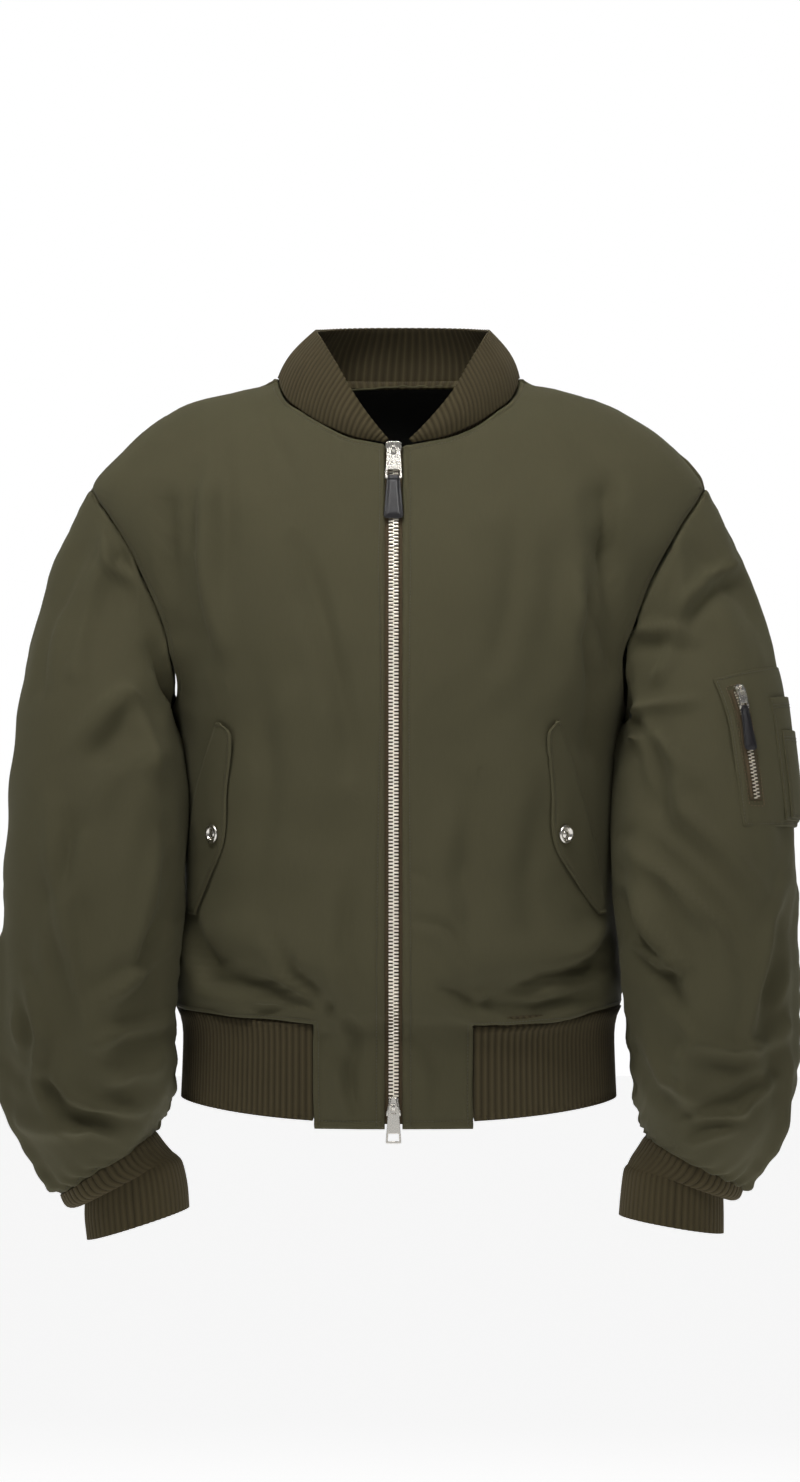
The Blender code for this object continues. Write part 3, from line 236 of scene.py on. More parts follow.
def read(table, at):
    """Every further column of a table, smoothly, where its first column is `at` (an array)."""
    rows = np.array(table, dtype=float)
    if rows[-1, 0] < rows[0, 0]:
        rows = rows[::-1]
    keys, values = rows[:, 0], rows[:, 1:]
    slopes = np.empty_like(values)
    slopes[1:-1] = (values[2:] - values[:-2]) / (keys[2:] - keys[:-2])[:, None]
    slopes[0] = (values[1] - values[0]) / (keys[1] - keys[0])
    slopes[-1] = (values[-1] - values[-2]) / (keys[-1] - keys[-2])
    at = np.asarray(at, dtype=float)
    low = np.clip(np.searchsorted(keys, at, side="right") - 1, 0, len(keys) - 2)
    span = keys[low + 1] - keys[low]
    share = np.clip((at - keys[low]) / span, 0.0, 1.0)[..., None]
    square, cube = share ** 2, share ** 3
    span = span[..., None]
    value = (2 * cube - 3 * square + 1) * values[low] + (3 * square - 2 * cube) * values[low + 1]
    value += (cube - 2 * square + share) * span * slopes[low] + (cube - square) * span * slopes[low + 1]
    return np.moveaxis(value, -1, 0)


def mix(a, b, share):
    return a + (b - a) * share


def stack(x, y, z):
    return np.stack(np.broadcast_arrays(x, y, z), axis=-1)


def unit(vectors):
    return vectors / np.maximum(np.linalg.norm(vectors, axis=-1, keepdims=True), 1e-12)


def signed_power(value, power):
    return np.sign(value) * np.abs(value) ** power


def along(x, y, points):
    """How far each (x, y) is from a line of points, on which side, and how far along it (0 to 1)."""
    nearest = np.full(np.shape(x), 9.0)
    side, where = np.zeros(np.shape(x)), np.zeros(np.shape(x))
    lengths = [math.dist(a, b) for a, b in zip(points, points[1:])]
    passed = 0.0
    for (x0, y0), (x1, y1), length in zip(points, points[1:], lengths):
        run_x, run_y = (x1 - x0) / length, (y1 - y0) / length
        share = np.clip((x - x0) * run_x + (y - y0) * run_y, 0.0, length)
        off_x, off_y = x - x0 - share * run_x, y - y0 - share * run_y
        distance = np.hypot(off_x, off_y)
        closer = distance < nearest
        nearest = np.where(closer, distance, nearest)
        side = np.where(closer, np.sign(run_y * off_x - run_x * off_y), side)
        where = np.where(closer, passed + share, where)
        passed += length
    return nearest, side, where / passed


def folds_at(x, y, folds):
    """Height of the large folds."""
    height = np.zeros(np.shape(x))
    for x0, y0, x1, y1, width, rise in folds:
        distance, _, _ = along(x, y, ((x0, y0), (x1, y1)))
        height += rise * np.exp(-(distance / width) ** 2)
    return height


def creases_at(x, y, creases):
    """Height of the finer creases: a soft trough that dies out at its ends, a ridge beside it."""
    height = np.zeros(np.shape(x))
    for points, width, depth, ridge in creases:
        distance, side, where = along(x, y, points)
        fade = np.sin(math.pi * np.clip(0.05 + 0.9 * where, 0.0, 1.0)) ** 0.7
        trough = -np.exp(-(distance / width) ** 2)
        beside = abs(ridge) * np.exp(-((side * math.copysign(1.0, ridge) * distance - 2.0 * width)
                                       / (1.5 * width)) ** 2)
        height += CREASE_STRENGTH * depth * fade * (trough + beside)
    return height


def section(back, turn, level):
    """The plain torso: turn is the angle from the middle of its face, `back` is True or False."""
    half_width, front, behind, square, widest = read(TORSO, level)
    sine, cosine = np.sin(turn), np.cos(turn)
    reach = behind - widest if back else -front - widest
    return stack(half_width * signed_power(sine, 2 / square),
                 widest + reach * signed_power(cosine, 2 / square), level)


def turn_at(x, level):
    """The angle where the torso's section is x from the middle."""
    half_width, _, _, square, _ = read(TORSO, level)
    share = np.minimum(1.0, np.abs(x) / half_width)
    return np.sign(x) * np.arcsin(share ** (square / 2))


def torso_normal(shape, back, turn, level):
    step = 0.004
    across = shape(back, turn + step, level) - shape(back, turn - step, level)
    down = shape(back, turn, level - step) - shape(back, turn, level + step)
    out = unit(np.cross(across, down))
    return out if back else -out


def torso(back, turn, level):
    """The torso with its folds and creases, which die out at the side and shoulder seams."""
    plain = section(back, turn, level)
    height = folds_at(plain[..., 0], level, BACK_FOLDS if back else FRONT_FOLDS)
    height += creases_at(plain[..., 0], level, BACK_CREASES if back else FRONT_CREASES)
    height *= 1.0 - np.abs(np.sin(turn)) ** 12
    apart = np.array((0.0, HALF_SEAM if back else -HALF_SEAM, 0.0))
    return plain + torso_normal(section, back, turn, level) * height[..., None] + apart


def torso_out(back, turn, level, distance):
    return torso(back, turn, level) + torso_normal(torso, back, turn, level) * np.asarray(distance)[..., None]


def armhole_turn(back, share):
    level, front_x, back_x = read(ARMHOLE, share)
    return turn_at(back_x if back else front_x, level), level


def side_edge(back, v, seam_level):
    """Outer edge of a panel: down the shoulder seam, round the armhole, down the side seam."""
    shoulder_level = read(SHOULDER_LEVELS, v / SHOULDER_END)[0]
    share = np.clip((v - SHOULDER_END) / (ARMPIT - SHOULDER_END), 0.0, 1.0)
    hole_turn, hole_level = armhole_turn(back, mix(share ** 1.4, share, share))
    side_level = mix(ARMHOLE[-1][1], seam_level, (v - ARMPIT) / (1 - ARMPIT))
    turn = np.where((v < SHOULDER_END) | (v >= ARMPIT), math.pi / 2, hole_turn)
    return turn, np.where(v < SHOULDER_END, shoulder_level, np.where(v < ARMPIT, hole_level, side_level))


def blend_edges(top, bottom, inner, outer, u, v, way):
    """Coons blend of four edges, each a (turn, level) pair; `way` is how far across u is as a share."""
    ends = np.zeros(1), np.ones(1)

    def blend(part):
        ruled = mix(part(top(u)), part(bottom(u)), v) + mix(part(inner(v)), part(outer(v)), way)
        corners = mix(mix(part(top(ends[0])), part(top(ends[1])), way),
                      mix(part(bottom(ends[0])), part(bottom(ends[1])), way), v)
        return ruled - corners

    return np.arcsin(np.clip(blend(lambda pair: np.sin(pair[0])), -1.0, 1.0)), blend(lambda pair: pair[1])


def back_place(u, v, distance):
    """u from the wearer's right to the left, v from the neck down."""
    seam_level = HEM_SEAM + HEM_SEAM_RISE + SEAM

    def top(u):
        return mix(-math.pi / 2, math.pi / 2, u), BACK_NECK + 0 * u

    def bottom(u):
        return mix(-math.pi / 2, math.pi / 2, u), seam_level + 0 * u

    def right(v):
        turn, level = side_edge(True, v, seam_level)
        return -turn, level

    def left(v):
        return side_edge(True, v, seam_level)

    turn, level = blend_edges(top, bottom, right, left, u, v, 0.5 + 0.5 * np.sin((u - 0.5) * math.pi))
    return torso_out(True, turn, level, distance)


def stations(*stops, step=0.0042, fine=0.0013, margin=0.0105, length=0.5):
    """Shares from 0 to 1 with a finer step beside each stop; length is the cloth's, in metres."""
    shares = []
    for start, end in zip(stops, stops[1:]):
        run = (end - start) * length
        edge = min(margin, run / 2)
        near = np.linspace(0.0, edge, max(2, round(edge / fine)) + 1)
        middle = np.linspace(edge, run - edge, max(1, round((run - 2 * edge) / step)) + 1)
        shares.append(start + np.concatenate((near, middle[1:-1], (run - near)[::-1])) / length)
    return np.unique(np.round(np.concatenate(shares), 7))


def lay_out(place, us, vs, lift=0.0):
    """A piece of cloth as a grid of points, with how far each is from the piece's four edges."""
    u, v = np.meshgrid(us, vs, indexing="ij")
    points = place(u, v, lift)
    out = unit(np.cross(np.gradient(points, axis=0), np.gradient(points, axis=1)))
    half = np.full((1, 1), 0.5)
    away = place(half, half, 0.001) - place(half, half, 0.0)
    out *= np.sign(np.sum(away[0, 0] * out[len(us) // 2, len(vs) // 2]))
    across = np.zeros(u.shape)
    down = np.zeros(u.shape)
    across[1:] = np.cumsum(np.linalg.norm(np.diff(points, axis=0), axis=-1), axis=0)
    down[:, 1:] = np.cumsum(np.linalg.norm(np.diff(points, axis=1), axis=-1), axis=1)
    return SimpleNamespace(u=u, v=v, points=points, out=out, across=across, down=down,
                           start=across, end=across[-1] - across,
                           top=down, bottom=down[:, -1:] - down)


def raise_by(cut, height):
    cut.points = cut.points + cut.out * height[..., None]


SEAM_DIP = 0.0011         # how far cloth turns in at a seam
STITCH_DIP = 0.0005       # how far topstitching pulls the cloth in


def ripple(run, pitch):
    """The uneven waves of cloth that a seam has puckered, -1 to 1."""
    return np.sin(2 * math.pi * run / pitch + 2.1 * np.sin(run / 0.037)) * (0.6 + 0.4 * np.sin(run / 0.023))


def seam_relief(distance, run, inset=None, pucker=0.0004, pitch=0.016):
    """Cloth beside a seam: it turns in, is drawn down by its topstitching, and puckers a little."""
    height = -SEAM_DIP * np.exp(-(distance / 0.0016) ** 2)
    if inset:
        height -= STITCH_DIP * np.exp(-((distance - inset) / 0.0013) ** 2)
        height += 0.0003 * np.exp(-((distance - inset / 2) / 0.0018) ** 2)
    beyond = np.maximum(0.0, distance - (inset or 0.0))
    return height + pucker * ripple(run, pitch) * np.exp(-beyond / 0.009) * np.clip(distance / 0.002, 0.0, 1.0)


def soft_ground(x, y, height=0.0013):
    """The cloth's own slight unevenness: long shallow swells that repeat nowhere."""
    swell = np.sin(21 * x + 9 * y + 1.3 * np.sin(31 * y)) + np.sin(47 * x - 26 * y + 1.7 * np.sin(23 * x + 2.0))
    swell += 0.6 * np.sin(83 * y + 39 * x + 1.9 * np.sin(17 * x - 11 * y))
    swell += 0.4 * np.sin(131 * x - 57 * y + 2.3 * np.sin(41 * y + 1.0))
    return height * swell / 1.5


def woven_cloth(name, colour, streak=0.10, thread=0.00055):
    """Matt woven cloth: warp and weft in relief, uneven yarn down the warp, slight cloudiness."""
    made, tree, shader = surface(name, colour, roughness=0.84, specular_ior_level=0.20,
                                 sheen_weight=0.08, sheen_roughness=0.5)
    shader.inputs["Sheen Tint"].default_value = (0.80, 0.78, 0.50, 1.0)
    place = tree.nodes.new("ShaderNodeTexCoord").outputs["UV"]
    yarn = node(tree, "TexNoise", node(tree, "Mapping", place, None, None, (1500.0, 70.0, 1.0)),
                None, 1.0, 3.0, 0.6)
    cloud = node(tree, "TexNoise", place, None, 9.0, 4.0, 0.6)
    tone = node(tree, "Math", node(tree, "Math", yarn, -0.5, operation="ADD"), 2 * streak, operation="MULTIPLY")
    shade = node(tree, "Math", node(tree, "Math", cloud, -0.5, operation="ADD"), 0.16, operation="MULTIPLY")
    factor = node(tree, "Math", node(tree, "Math", tone, shade, operation="ADD"), 1.0, operation="ADD")
    base = node(tree, "VectorMath", tuple(colour), operation="SCALE")
    tree.links.new(factor, base.node.inputs["Scale"])
    tree.links.new(base, shader.inputs["Base Color"])
    warp = node(tree, "TexWave", place, 0.314 / thread, 0.6, 2.0, bands_direction="X")
    weft = node(tree, "TexWave", place, 0.314 / thread, 0.6, 2.0, bands_direction="Y")
    relief = node(tree, "Math", warp.node.outputs["Fac"], weft.node.outputs["Fac"], operation="MULTIPLY")
    relief = node(tree, "Math", relief, node(tree, "Math", yarn, 0.9, operation="MULTIPLY"), operation="ADD")
    bump = node(tree, "Bump", 0.5, 0.00022)
    tree.links.new(relief, bump.node.inputs["Height"])
    tree.links.new(bump, shader.inputs["Normal"])
    return made


olive_cloth = woven_cloth("olive_cloth", (0.070, 0.0635, 0.0335))
dark_lining = woven_cloth("dark_lining", (0.012, 0.012, 0.011), streak=0.05, thread=0.0003)

ALLOWANCE = 0.006         # how far the cloth's edges are turned in where it is seamed


def turn_in(array, edges, out=None):
    """Two more rows of the grid beyond each of its `edges`: points turn inwards, then go on under the
    neighbouring piece as a seam's allowance does; lengths just repeat."""
    for edge, axis, at in (("start", 0, 0), ("end", 0, -1), ("top", 1, 0), ("bottom", 1, -1)):
        if edge not in edges:
            continue
        row = np.take(array, [at], axis=axis)
        rows = [row, row]
        if out is not None:
            inwards = -np.take(out, [at], axis=axis)
            beyond = unit(row - np.take(array, [1 if at == 0 else -2], axis=axis))
            place = np.moveaxis(np.arange(row.shape[1 - axis])[:, None, None], 0, 1 - axis)
            deep = ALLOWANCE * np.clip(np.minimum(place, row.shape[1 - axis] - 1 - place) / 3, 0.0, 1.0)
            rows = [row + 0.45 * deep * inwards, row + deep * (inwards + 0.9 * beyond)]
            out = np.concatenate((-inwards, -inwards, out) if at == 0 else (out, -inwards, -inwards), axis=axis)
        array = np.concatenate((*rows[::-1], array) if at == 0 else (array, *rows), axis=axis)
    return array


def round_off(piece, name, width, degrees):
    """Rounds those edges of a piece that turn by more than so many degrees."""
    rounded = piece.modifiers.new(name, "BEVEL")
    rounded.width = width
    rounded.segments = 2
    rounded.limit_method = "ANGLE"
    rounded.angle_limit = math.radians(degrees)
    return rounded


def sew(name, cut, cloth, thickness=SHELL, lining=None, gone=None, edge=0.0, seamed=()):
    """Makes a laid-out piece a wall of cloth on its own grid, with its lengths in metres as its UV."""
    points = turn_in(cut.points, seamed, cut.out)
    run_across, run_down = turn_in(cut.across, seamed), turn_in(cut.down, seamed)
    if gone is not None:
        gone = turn_in(gone, seamed)
    columns, rows = points.shape[0] - 1, points.shape[1] - 1
    bm = bmesh.new()
    bmesh.ops.create_grid(bm, x_segments=columns, y_segments=rows, size=0.5)
    if gone is not None:
        lost = [f for f in bm.faces if gone[min(columns - 1, int((f.calc_center_median().x + 0.5) * columns)),
                                            min(rows - 1, int((f.calc_center_median().y + 0.5) * rows))]]
        bmesh.ops.delete(bm, geom=lost, context="FACES")
    piece = show(name, bm, cloth, lining or cloth)
    mesh = piece.data
    flat = np.empty(len(mesh.vertices) * 3)
    mesh.vertices.foreach_get("co", flat)
    flat = flat.reshape(-1, 3)
    i = np.rint((flat[:, 0] + 0.5) * columns).astype(int)
    j = np.rint((flat[:, 1] + 0.5) * rows).astype(int)
    mesh.vertices.foreach_set("co", points[i, j].ravel())
    corner = np.empty(len(mesh.loops), dtype=int)
    mesh.loops.foreach_get("vertex_index", corner)
    lengths = np.stack((run_across[i, j], run_down[i, j]), axis=-1)[corner]
    mesh.uv_layers.new(name="cloth").data.foreach_set("uv", lengths.ravel())
    mesh.update()
    middle = mesh.polygons[len(mesh.polygons) // 2]
    near = np.argmin(np.linalg.norm(cut.points.reshape(-1, 3) - np.array(middle.center), axis=1))
    if np.dot(cut.out.reshape(-1, 3)[near], middle.normal) < 0:
        mesh.flip_normals()
    wall = piece.modifiers.new("wall", "SOLIDIFY")
    wall.thickness = thickness
    wall.offset = -1.0
    wall.material_offset = 1
    if edge:
        round_off(piece, "rounded edge", edge, 65)
    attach(piece, "jacket")
    return piece


STITCH = 0.0028           # length of one topstitch with its gap
STITCH_HALF = 0.39        # half of a stitch without its gap, as a share of that length
THREAD = 0.00034          # half thickness of the thread
STITCH_FLAT = 0.8         # how flat a stitch is pulled
STITCH_OUT = 0.35         # how far it stands out of the cloth, as a share of the thread

thread_olive, thread_tree, _ = surface("olive_thread", (0.060, 0.054, 0.031), roughness=0.55)
twist = node(thread_tree, "TexWave",
             thread_tree.nodes.new("ShaderNodeTexCoord").outputs["Object"], 900.0, 1.0, bands_direction="DIAGONAL")
thread_bump = node(thread_tree, "Bump", 0.6, 0.0001)
thread_tree.links.new(twist.node.outputs["Fac"], thread_bump.node.inputs["Height"])
thread_tree.links.new(thread_bump, thread_tree.nodes["Principled BSDF"].inputs["Normal"])


def repeat(name, template, places, material, body="jacket"):
    """Joins one small shape, repeated at each of `places` (4 x 4 arrays), into one mesh."""
    points = np.array([vert.co[:] for vert in template.verts])
    template.verts.index_update()
    faces = [[vert.index for vert in face.verts] for face in template.faces]
    template.free()
    spread = np.einsum("nij,kj->nki", places[:, :3, :3], points) + places[:, None, :3, 3]
    count = len(points)
    many = [[k * count + index for index in face] for k in range(len(places)) for face in faces]
    mesh = bpy.data.meshes.new(name)
    mesh.from_pydata(spread.reshape(-1, 3).tolist(), [], many)
    mesh.materials.append(material)
    mesh.shade_smooth()
    piece = bpy.data.objects.new(name, mesh)
    bpy.context.scene.collection.objects.link(piece)
    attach(piece, body)
    return piece


def seats(spots, *axes):
    """Seats (4 x 4 arrays) from their places and their X, Y and Z axes."""
    made = np.zeros((*spots.shape[:-1], 4, 4))
    for k, column in enumerate((*axes, spots)):
        made[..., :3, k] = column
    made[..., 3, 3] = 1.0
    return made


def line_on(cut, distance, inset, first=0.0, last=1.0, run="v"):
    """Points and normals of the line `inset` metres from an edge; distance is the cut's own array."""
    lines = []
    axis = 0 if run == "v" else 1
    at = cut.v[0] if run == "v" else cut.u[:, 0]
    for k in np.flatnonzero((at >= first) & (at <= last)):
        far = distance[:, k] if axis == 0 else distance[k]
        points = cut.points[:, k] if axis == 0 else cut.points[k]
        out = cut.out[:, k] if axis == 0 else cut.out[k]
        if far[0] > far[-1]:
            far, points, out = far[::-1], points[::-1], out[::-1]
        if far[-1] < inset:
            continue
        lines.append([np.interp(inset, far, points[:, c]) for c in range(3)]
                     + [np.interp(inset, far, out[:, c]) for c in range(3)])
    lines = np.array(lines)
    return lines[:, :3], unit(lines[:, 3:])


def stitch(name, runs, material=None, pitch=STITCH, thick=THREAD, body="jacket"):
    """Topstitching along each of `runs`, a line of points and its normals."""
    places = []
    for points, out in runs:
        steps = np.linalg.norm(np.diff(points, axis=0), axis=1)
        far = np.concatenate(([0.0], np.cumsum(steps)))
        count = max(1, int(far[-1] / pitch))
        middles = (np.arange(count) + 0.5) * far[-1] / count
        spot = np.stack([np.interp(middles, far, points[:, c]) for c in range(3)], axis=-1)
        ahead = np.stack([np.interp(middles + 0.0006, far, points[:, c]) for c in range(3)], axis=-1)
        behind = np.stack([np.interp(middles - 0.0006, far, points[:, c]) for c in range(3)], axis=-1)
        up = unit(np.stack([np.interp(middles, far, out[:, c]) for c in range(3)], axis=-1))
        run = unit(ahead - behind)
        side = unit(np.cross(up, run))
        up = np.cross(run, side)
        places.append(seats(spot + up * thick * STITCH_OUT, run * (STITCH_HALF * pitch), side * thick,
                            up * thick * STITCH_FLAT))
    bead = bmesh.new()
    bmesh.ops.create_uvsphere(bead, u_segments=5, v_segments=5, radius=1.0,
                              matrix=Matrix.Rotation(math.radians(90), 4, "Y"))
    return repeat(name, bead, np.concatenate(places), material or thread_olive, body)


def side_relief(cut, distance, shoulder_end, armpit):
    """A panel's outer edge: plain at the shoulder and side seams, topstitched round the armhole."""
    plain = seam_relief(distance, cut.down)
    sewn = seam_relief(distance, cut.down, ARMHOLE_STITCH)
    return np.where((cut.v > shoulder_end) & (cut.v < armpit), sewn, plain)


back = lay_out(back_place, stations(0.0, 1.0, length=0.56),
               stations(0.0, SHOULDER_END, ARMPIT, 1.0, length=0.53))
raise_by(back, soft_ground(back.points[..., 0], back.points[..., 2], 0.0015)
         + side_relief(back, back.start, SHOULDER_END, ARMPIT)
         + side_relief(back, back.end, SHOULDER_END, ARMPIT)
         + seam_relief(back.top, back.across, NECK_STITCH)
         + seam_relief(back.bottom, back.across, WAIST_STITCH, pucker=0.0011, pitch=0.024))
back_panel = sew("back_cloth", back, olive_cloth, lining=dark_lining,
                 seamed=("start", "end", "top", "bottom"))
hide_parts("back")
stitch("back_stitching", [
    line_on(back, back.start, ARMHOLE_STITCH, SHOULDER_END, ARMPIT),
    line_on(back, back.end, ARMHOLE_STITCH, SHOULDER_END, ARMPIT),
    line_on(back, back.top, NECK_STITCH, 0.02, 0.98, run="u"),
    line_on(back, back.bottom, WAIST_STITCH, 0.01, 0.99, run="u"),
])

# ---- front panels --------------------------------------------------------------------------------
# Two mirror-cut fronts of the same cloth. Each is folded back and stitched beside the zip, topstitched
# at the neck and armhole, and runs down past the knit hem as a short tail with a turned hem.
ZIP_X = -0.0040           # the zip stands a little to the wearer's right
ZIP_HALF_OPENING = 0.0068 # from its middle to a front's folded edge
TAIL_WIDTH = 0.0625       # and to the outer edge of a tail
FRONT_TAIL = -0.5915      # lower edge of the tails
TAIL_SHARE = 3 / 26       # share of a front's rows that lie in the tail
TAIL_U = 4 / 12           # share of its columns that run on into the tail
PLACKET_STITCH = 0.0065   # topstitching from the edge: beside the zip
TAIL_STITCH = 0.0063      # and above the tail's lower edge
SIDES = {"right": -1.0, "left": 1.0}

# share of the way from the zip to the shoulder seam, distance from the middle, level
FRONT_NECK = (
    (0.00, 0.0060, -0.0585),
    (0.06, 0.0122, -0.0564),
    (0.25, 0.0353, -0.0516),
    (0.37, 0.0490, -0.0463),
    (0.52, 0.0650, -0.0383),
    (0.67, 0.0780, -0.0291),
    (0.82, 0.0898, -0.0190),
    (0.94, 0.0958, -0.0067),
    (1.00, 0.0970, 0.0000),
)
# large folds and finer creases, as those of the back
FRONT_FOLDS = (
    (-0.182, -0.110, -0.174, -0.200, 0.0160, -0.0075),
    (-0.156, -0.100, -0.148, -0.210, 0.0160, 0.0050),
    (-0.156, -0.215, -0.170, -0.250, 0.0150, -0.0060),
    (0.158, -0.100, 0.161, -0.140, 0.0160, -0.0060),
    (0.162, -0.140, 0.174, -0.215, 0.0160, -0.0075),
    (0.136, -0.100, 0.146, -0.215, 0.0160, 0.0050),
    (0.150, -0.205, 0.148, -0.285, 0.0140, -0.0050),
    (-0.120, -0.110, -0.055, -0.330, 0.0260, 0.0045),
    (-0.080, -0.190, -0.045, -0.420, 0.0200, -0.0035),
    (0.055, -0.130, 0.095, -0.330, 0.0260, 0.0045),
    (0.040, -0.300, 0.070, -0.450, 0.0200, -0.0035),
    (-0.140, -0.462, -0.070, -0.486, 0.0140, -0.0065),
    (-0.125, -0.440, -0.050, -0.468, 0.0150, 0.0045),
    (0.050, -0.484, 0.145, -0.480, 0.0140, -0.0065),
    (0.060, -0.458, 0.140, -0.454, 0.0150, 0.0045),
)
FRONT_CREASES = (
    # beside the right armhole, and the tuck where the sleeve folds over the chest
    (((-0.183, -0.088), (-0.181, -0.130), (-0.179, -0.172)), 0.0050, 0.0044, 0.6),
    (((-0.160, -0.080), (-0.162, -0.150), (-0.150, -0.205)), 0.0060, 0.0066, -0.5),
    (((-0.168, -0.160), (-0.156, -0.200), (-0.143, -0.232)), 0.0070, 0.0040, -0.6),
    (((-0.136, -0.051), (-0.134, -0.138), (-0.140, -0.190)), 0.0080, 0.0036, 0.7),
    (((-0.168, -0.258), (-0.166, -0.280), (-0.165, -0.310)), 0.0060, 0.0010, 0.5),
    # beside the left armhole
    (((0.165, -0.080), (0.165, -0.138), (0.166, -0.171), (0.172, -0.208)), 0.0050, 0.0064, -0.6),
    (((0.151, -0.160), (0.146, -0.211), (0.156, -0.250)), 0.0065, 0.0074, 0.6),
    (((0.147, -0.173), (0.163, -0.208), (0.171, -0.232), (0.161, -0.245)), 0.0060, 0.0056, 0.6),
    (((0.153, -0.240), (0.154, -0.270), (0.152, -0.304)), 0.0060, 0.0044, -0.6),
    # long soft drags down the chest
    (((-0.078, -0.138), (-0.058, -0.197), (-0.044, -0.255), (-0.036, -0.310)), 0.0085, 0.0040, 0.8),
    (((-0.105, -0.030), (-0.096, -0.055), (-0.082, -0.085)), 0.0060, 0.0022, 0.6),
    (((-0.110, -0.240), (-0.100, -0.320), (-0.112, -0.400)), 0.0110, 0.0034, -0.6),
    (((0.092, -0.120), (0.086, -0.180), (0.074, -0.230)), 0.0090, 0.0026, -0.7),
    (((0.060, -0.330), (0.052, -0.400), (0.058, -0.450)), 0.0100, 0.0030, 0.6),
    (((0.110, -0.330), (0.100, -0.400), (0.104, -0.440)), 0.0100, 0.0030, 0.5),
    (((-0.038, -0.400), (-0.043, -0.456), (-0.029, -0.489)), 0.0065, 0.0036, 0.7),
    (((-0.0475, -0.489), (-0.0333, -0.518), (-0.038, -0.560)), 0.0050, 0.0030, 0.7),
    # the blouse over the right knit hem
    (((-0.166, -0.423), (-0.158, -0.455), (-0.147, -0.475), (-0.120, -0.484)), 0.0060, 0.0072, 0.6),
    (((-0.152, -0.451), (-0.149, -0.461), (-0.130, -0.465)), 0.0055, 0.0050, -0.5),
    (((-0.151, -0.472), (-0.127, -0.474), (-0.095, -0.484), (-0.072, -0.494), (-0.057, -0.499)),
     0.0042, 0.0066, -0.7),
    (((-0.119, -0.495), (-0.106, -0.500), (-0.090, -0.500)), 0.0034, 0.0030, -0.5),
    (((-0.099, -0.440), (-0.081, -0.472), (-0.062, -0.486), (-0.052, -0.498)), 0.0055, 0.0050, 0.7),
    (((-0.054, -0.489), (-0.052, -0.500), (-0.053, -0.506)), 0.0034, 0.0034, 0.6),
    (((-0.054, -0.529), (-0.041, -0.540), (-0.037, -0.563), (-0.030, -0.582)), 0.0042, 0.0034, 0.8),
    # the blouse over the left knit hem
    (((0.050, -0.495), (0.084, -0.499), (0.109, -0.498), (0.155, -0.489)), 0.0042, 0.0062, 0.7),
    (((0.084, -0.492), (0.113, -0.475), (0.155, -0.466), (0.178, -0.468)), 0.0052, 0.0064, 0.6),
    (((0.028, -0.480), (0.045, -0.487), (0.061, -0.499)), 0.0036, 0.0036, 0.6),
    (((0.080, -0.488), (0.066, -0.498)), 0.0034, 0.0030, 0.6),
    (((0.170, -0.424), (0.172, -0.441), (0.158, -0.460), (0.133, -0.477)), 0.0060, 0.0066, 0.6),
    (((0.009, -0.390), (0.016, -0.392), (0.024, -0.400)), 0.0030, 0.0016, 0.5),
    (((0.011, -0.428), (0.037, -0.433), (0.056, -0.461)), 0.0042, 0.0028, 0.5),
    (((0.012, -0.520), (0.030, -0.545), (0.028, -0.575)), 0.0050, 0.0024, 0.7),
)


def front_place(side):
    """place(u, v, distance) of one front: u from the zip outwards, v from the neck down."""
    sign = SIDES[side]

    def zip_turn(level):
        return turn_at(sign * ZIP_X + ZIP_HALF_OPENING, level)

    def tail_turn(level):
        return turn_at(sign * ZIP_X + TAIL_WIDTH - SEAM, level)

    def top(u):
        x, level = read(FRONT_NECK, u)
        near_zip = mix(sign * ZIP_X + ZIP_HALF_OPENING, FRONT_NECK[1][1], u / FRONT_NECK[1][0])
        return turn_at(np.where(u < FRONT_NECK[1][0], near_zip, x), level), level

    def bottom(u):
        tail = mix(zip_turn(HEM_SEAM), tail_turn(HEM_SEAM), u / TAIL_U)
        beyond = mix(tail_turn(HEM_SEAM), math.pi / 2, (u - TAIL_U) / (1 - TAIL_U))
        turn = np.where(u < TAIL_U, tail, beyond)
        return turn, HEM_SEAM + HEM_SEAM_RISE * np.sin(turn) ** 2 + SEAM

    def inner(v):
        level = mix(top(np.zeros(1))[1], bottom(np.zeros(1))[1], v)
        return zip_turn(level), level

    def outer(v):
        return side_edge(False, v, bottom(np.ones(1))[1])

    def place(u, v, distance):
        down = v / (1 - TAIL_SHARE)
        turn, level = blend_edges(top, bottom, inner, outer, u, np.minimum(down, 1.0), np.sin(u * math.pi / 2))
        tail_level = mix(bottom(u)[1], FRONT_TAIL, (down - 1) * (1 - TAIL_SHARE) / TAIL_SHARE)
        tail = mix(zip_turn(tail_level), tail_turn(tail_level), u / TAIL_U)
        below = down > 1.00001
        return torso_out(False, sign * np.where(below, tail, turn), np.where(below, tail_level, level), distance)

    return place


BAND = 0.0060             # width of the sewn-down seam allowance beside a knit band
BAND_STITCH = BAND - 0.0014


def band_relief(distance, run, pucker=0.0009, pitch=0.024):
    """Cloth beside a knit band: the allowance under it stands out as a flat strip, stitched down."""
    strip = np.clip((BAND + 0.0006 - distance) / 0.0012, 0.0, 1.0)
    height = 0.0007 * strip * strip * (3 - 2 * strip) - SEAM_DIP * np.exp(-(distance / 0.0012) ** 2)
    height -= 0.0004 * np.exp(-((distance - BAND_STITCH) / 0.0010) ** 2)
    beyond = np.maximum(0.0, distance - BAND)
    return height + pucker * ripple(run, pitch) * np.exp(-beyond / 0.011) * np.clip(distance / 0.004, 0.0, 1.0)


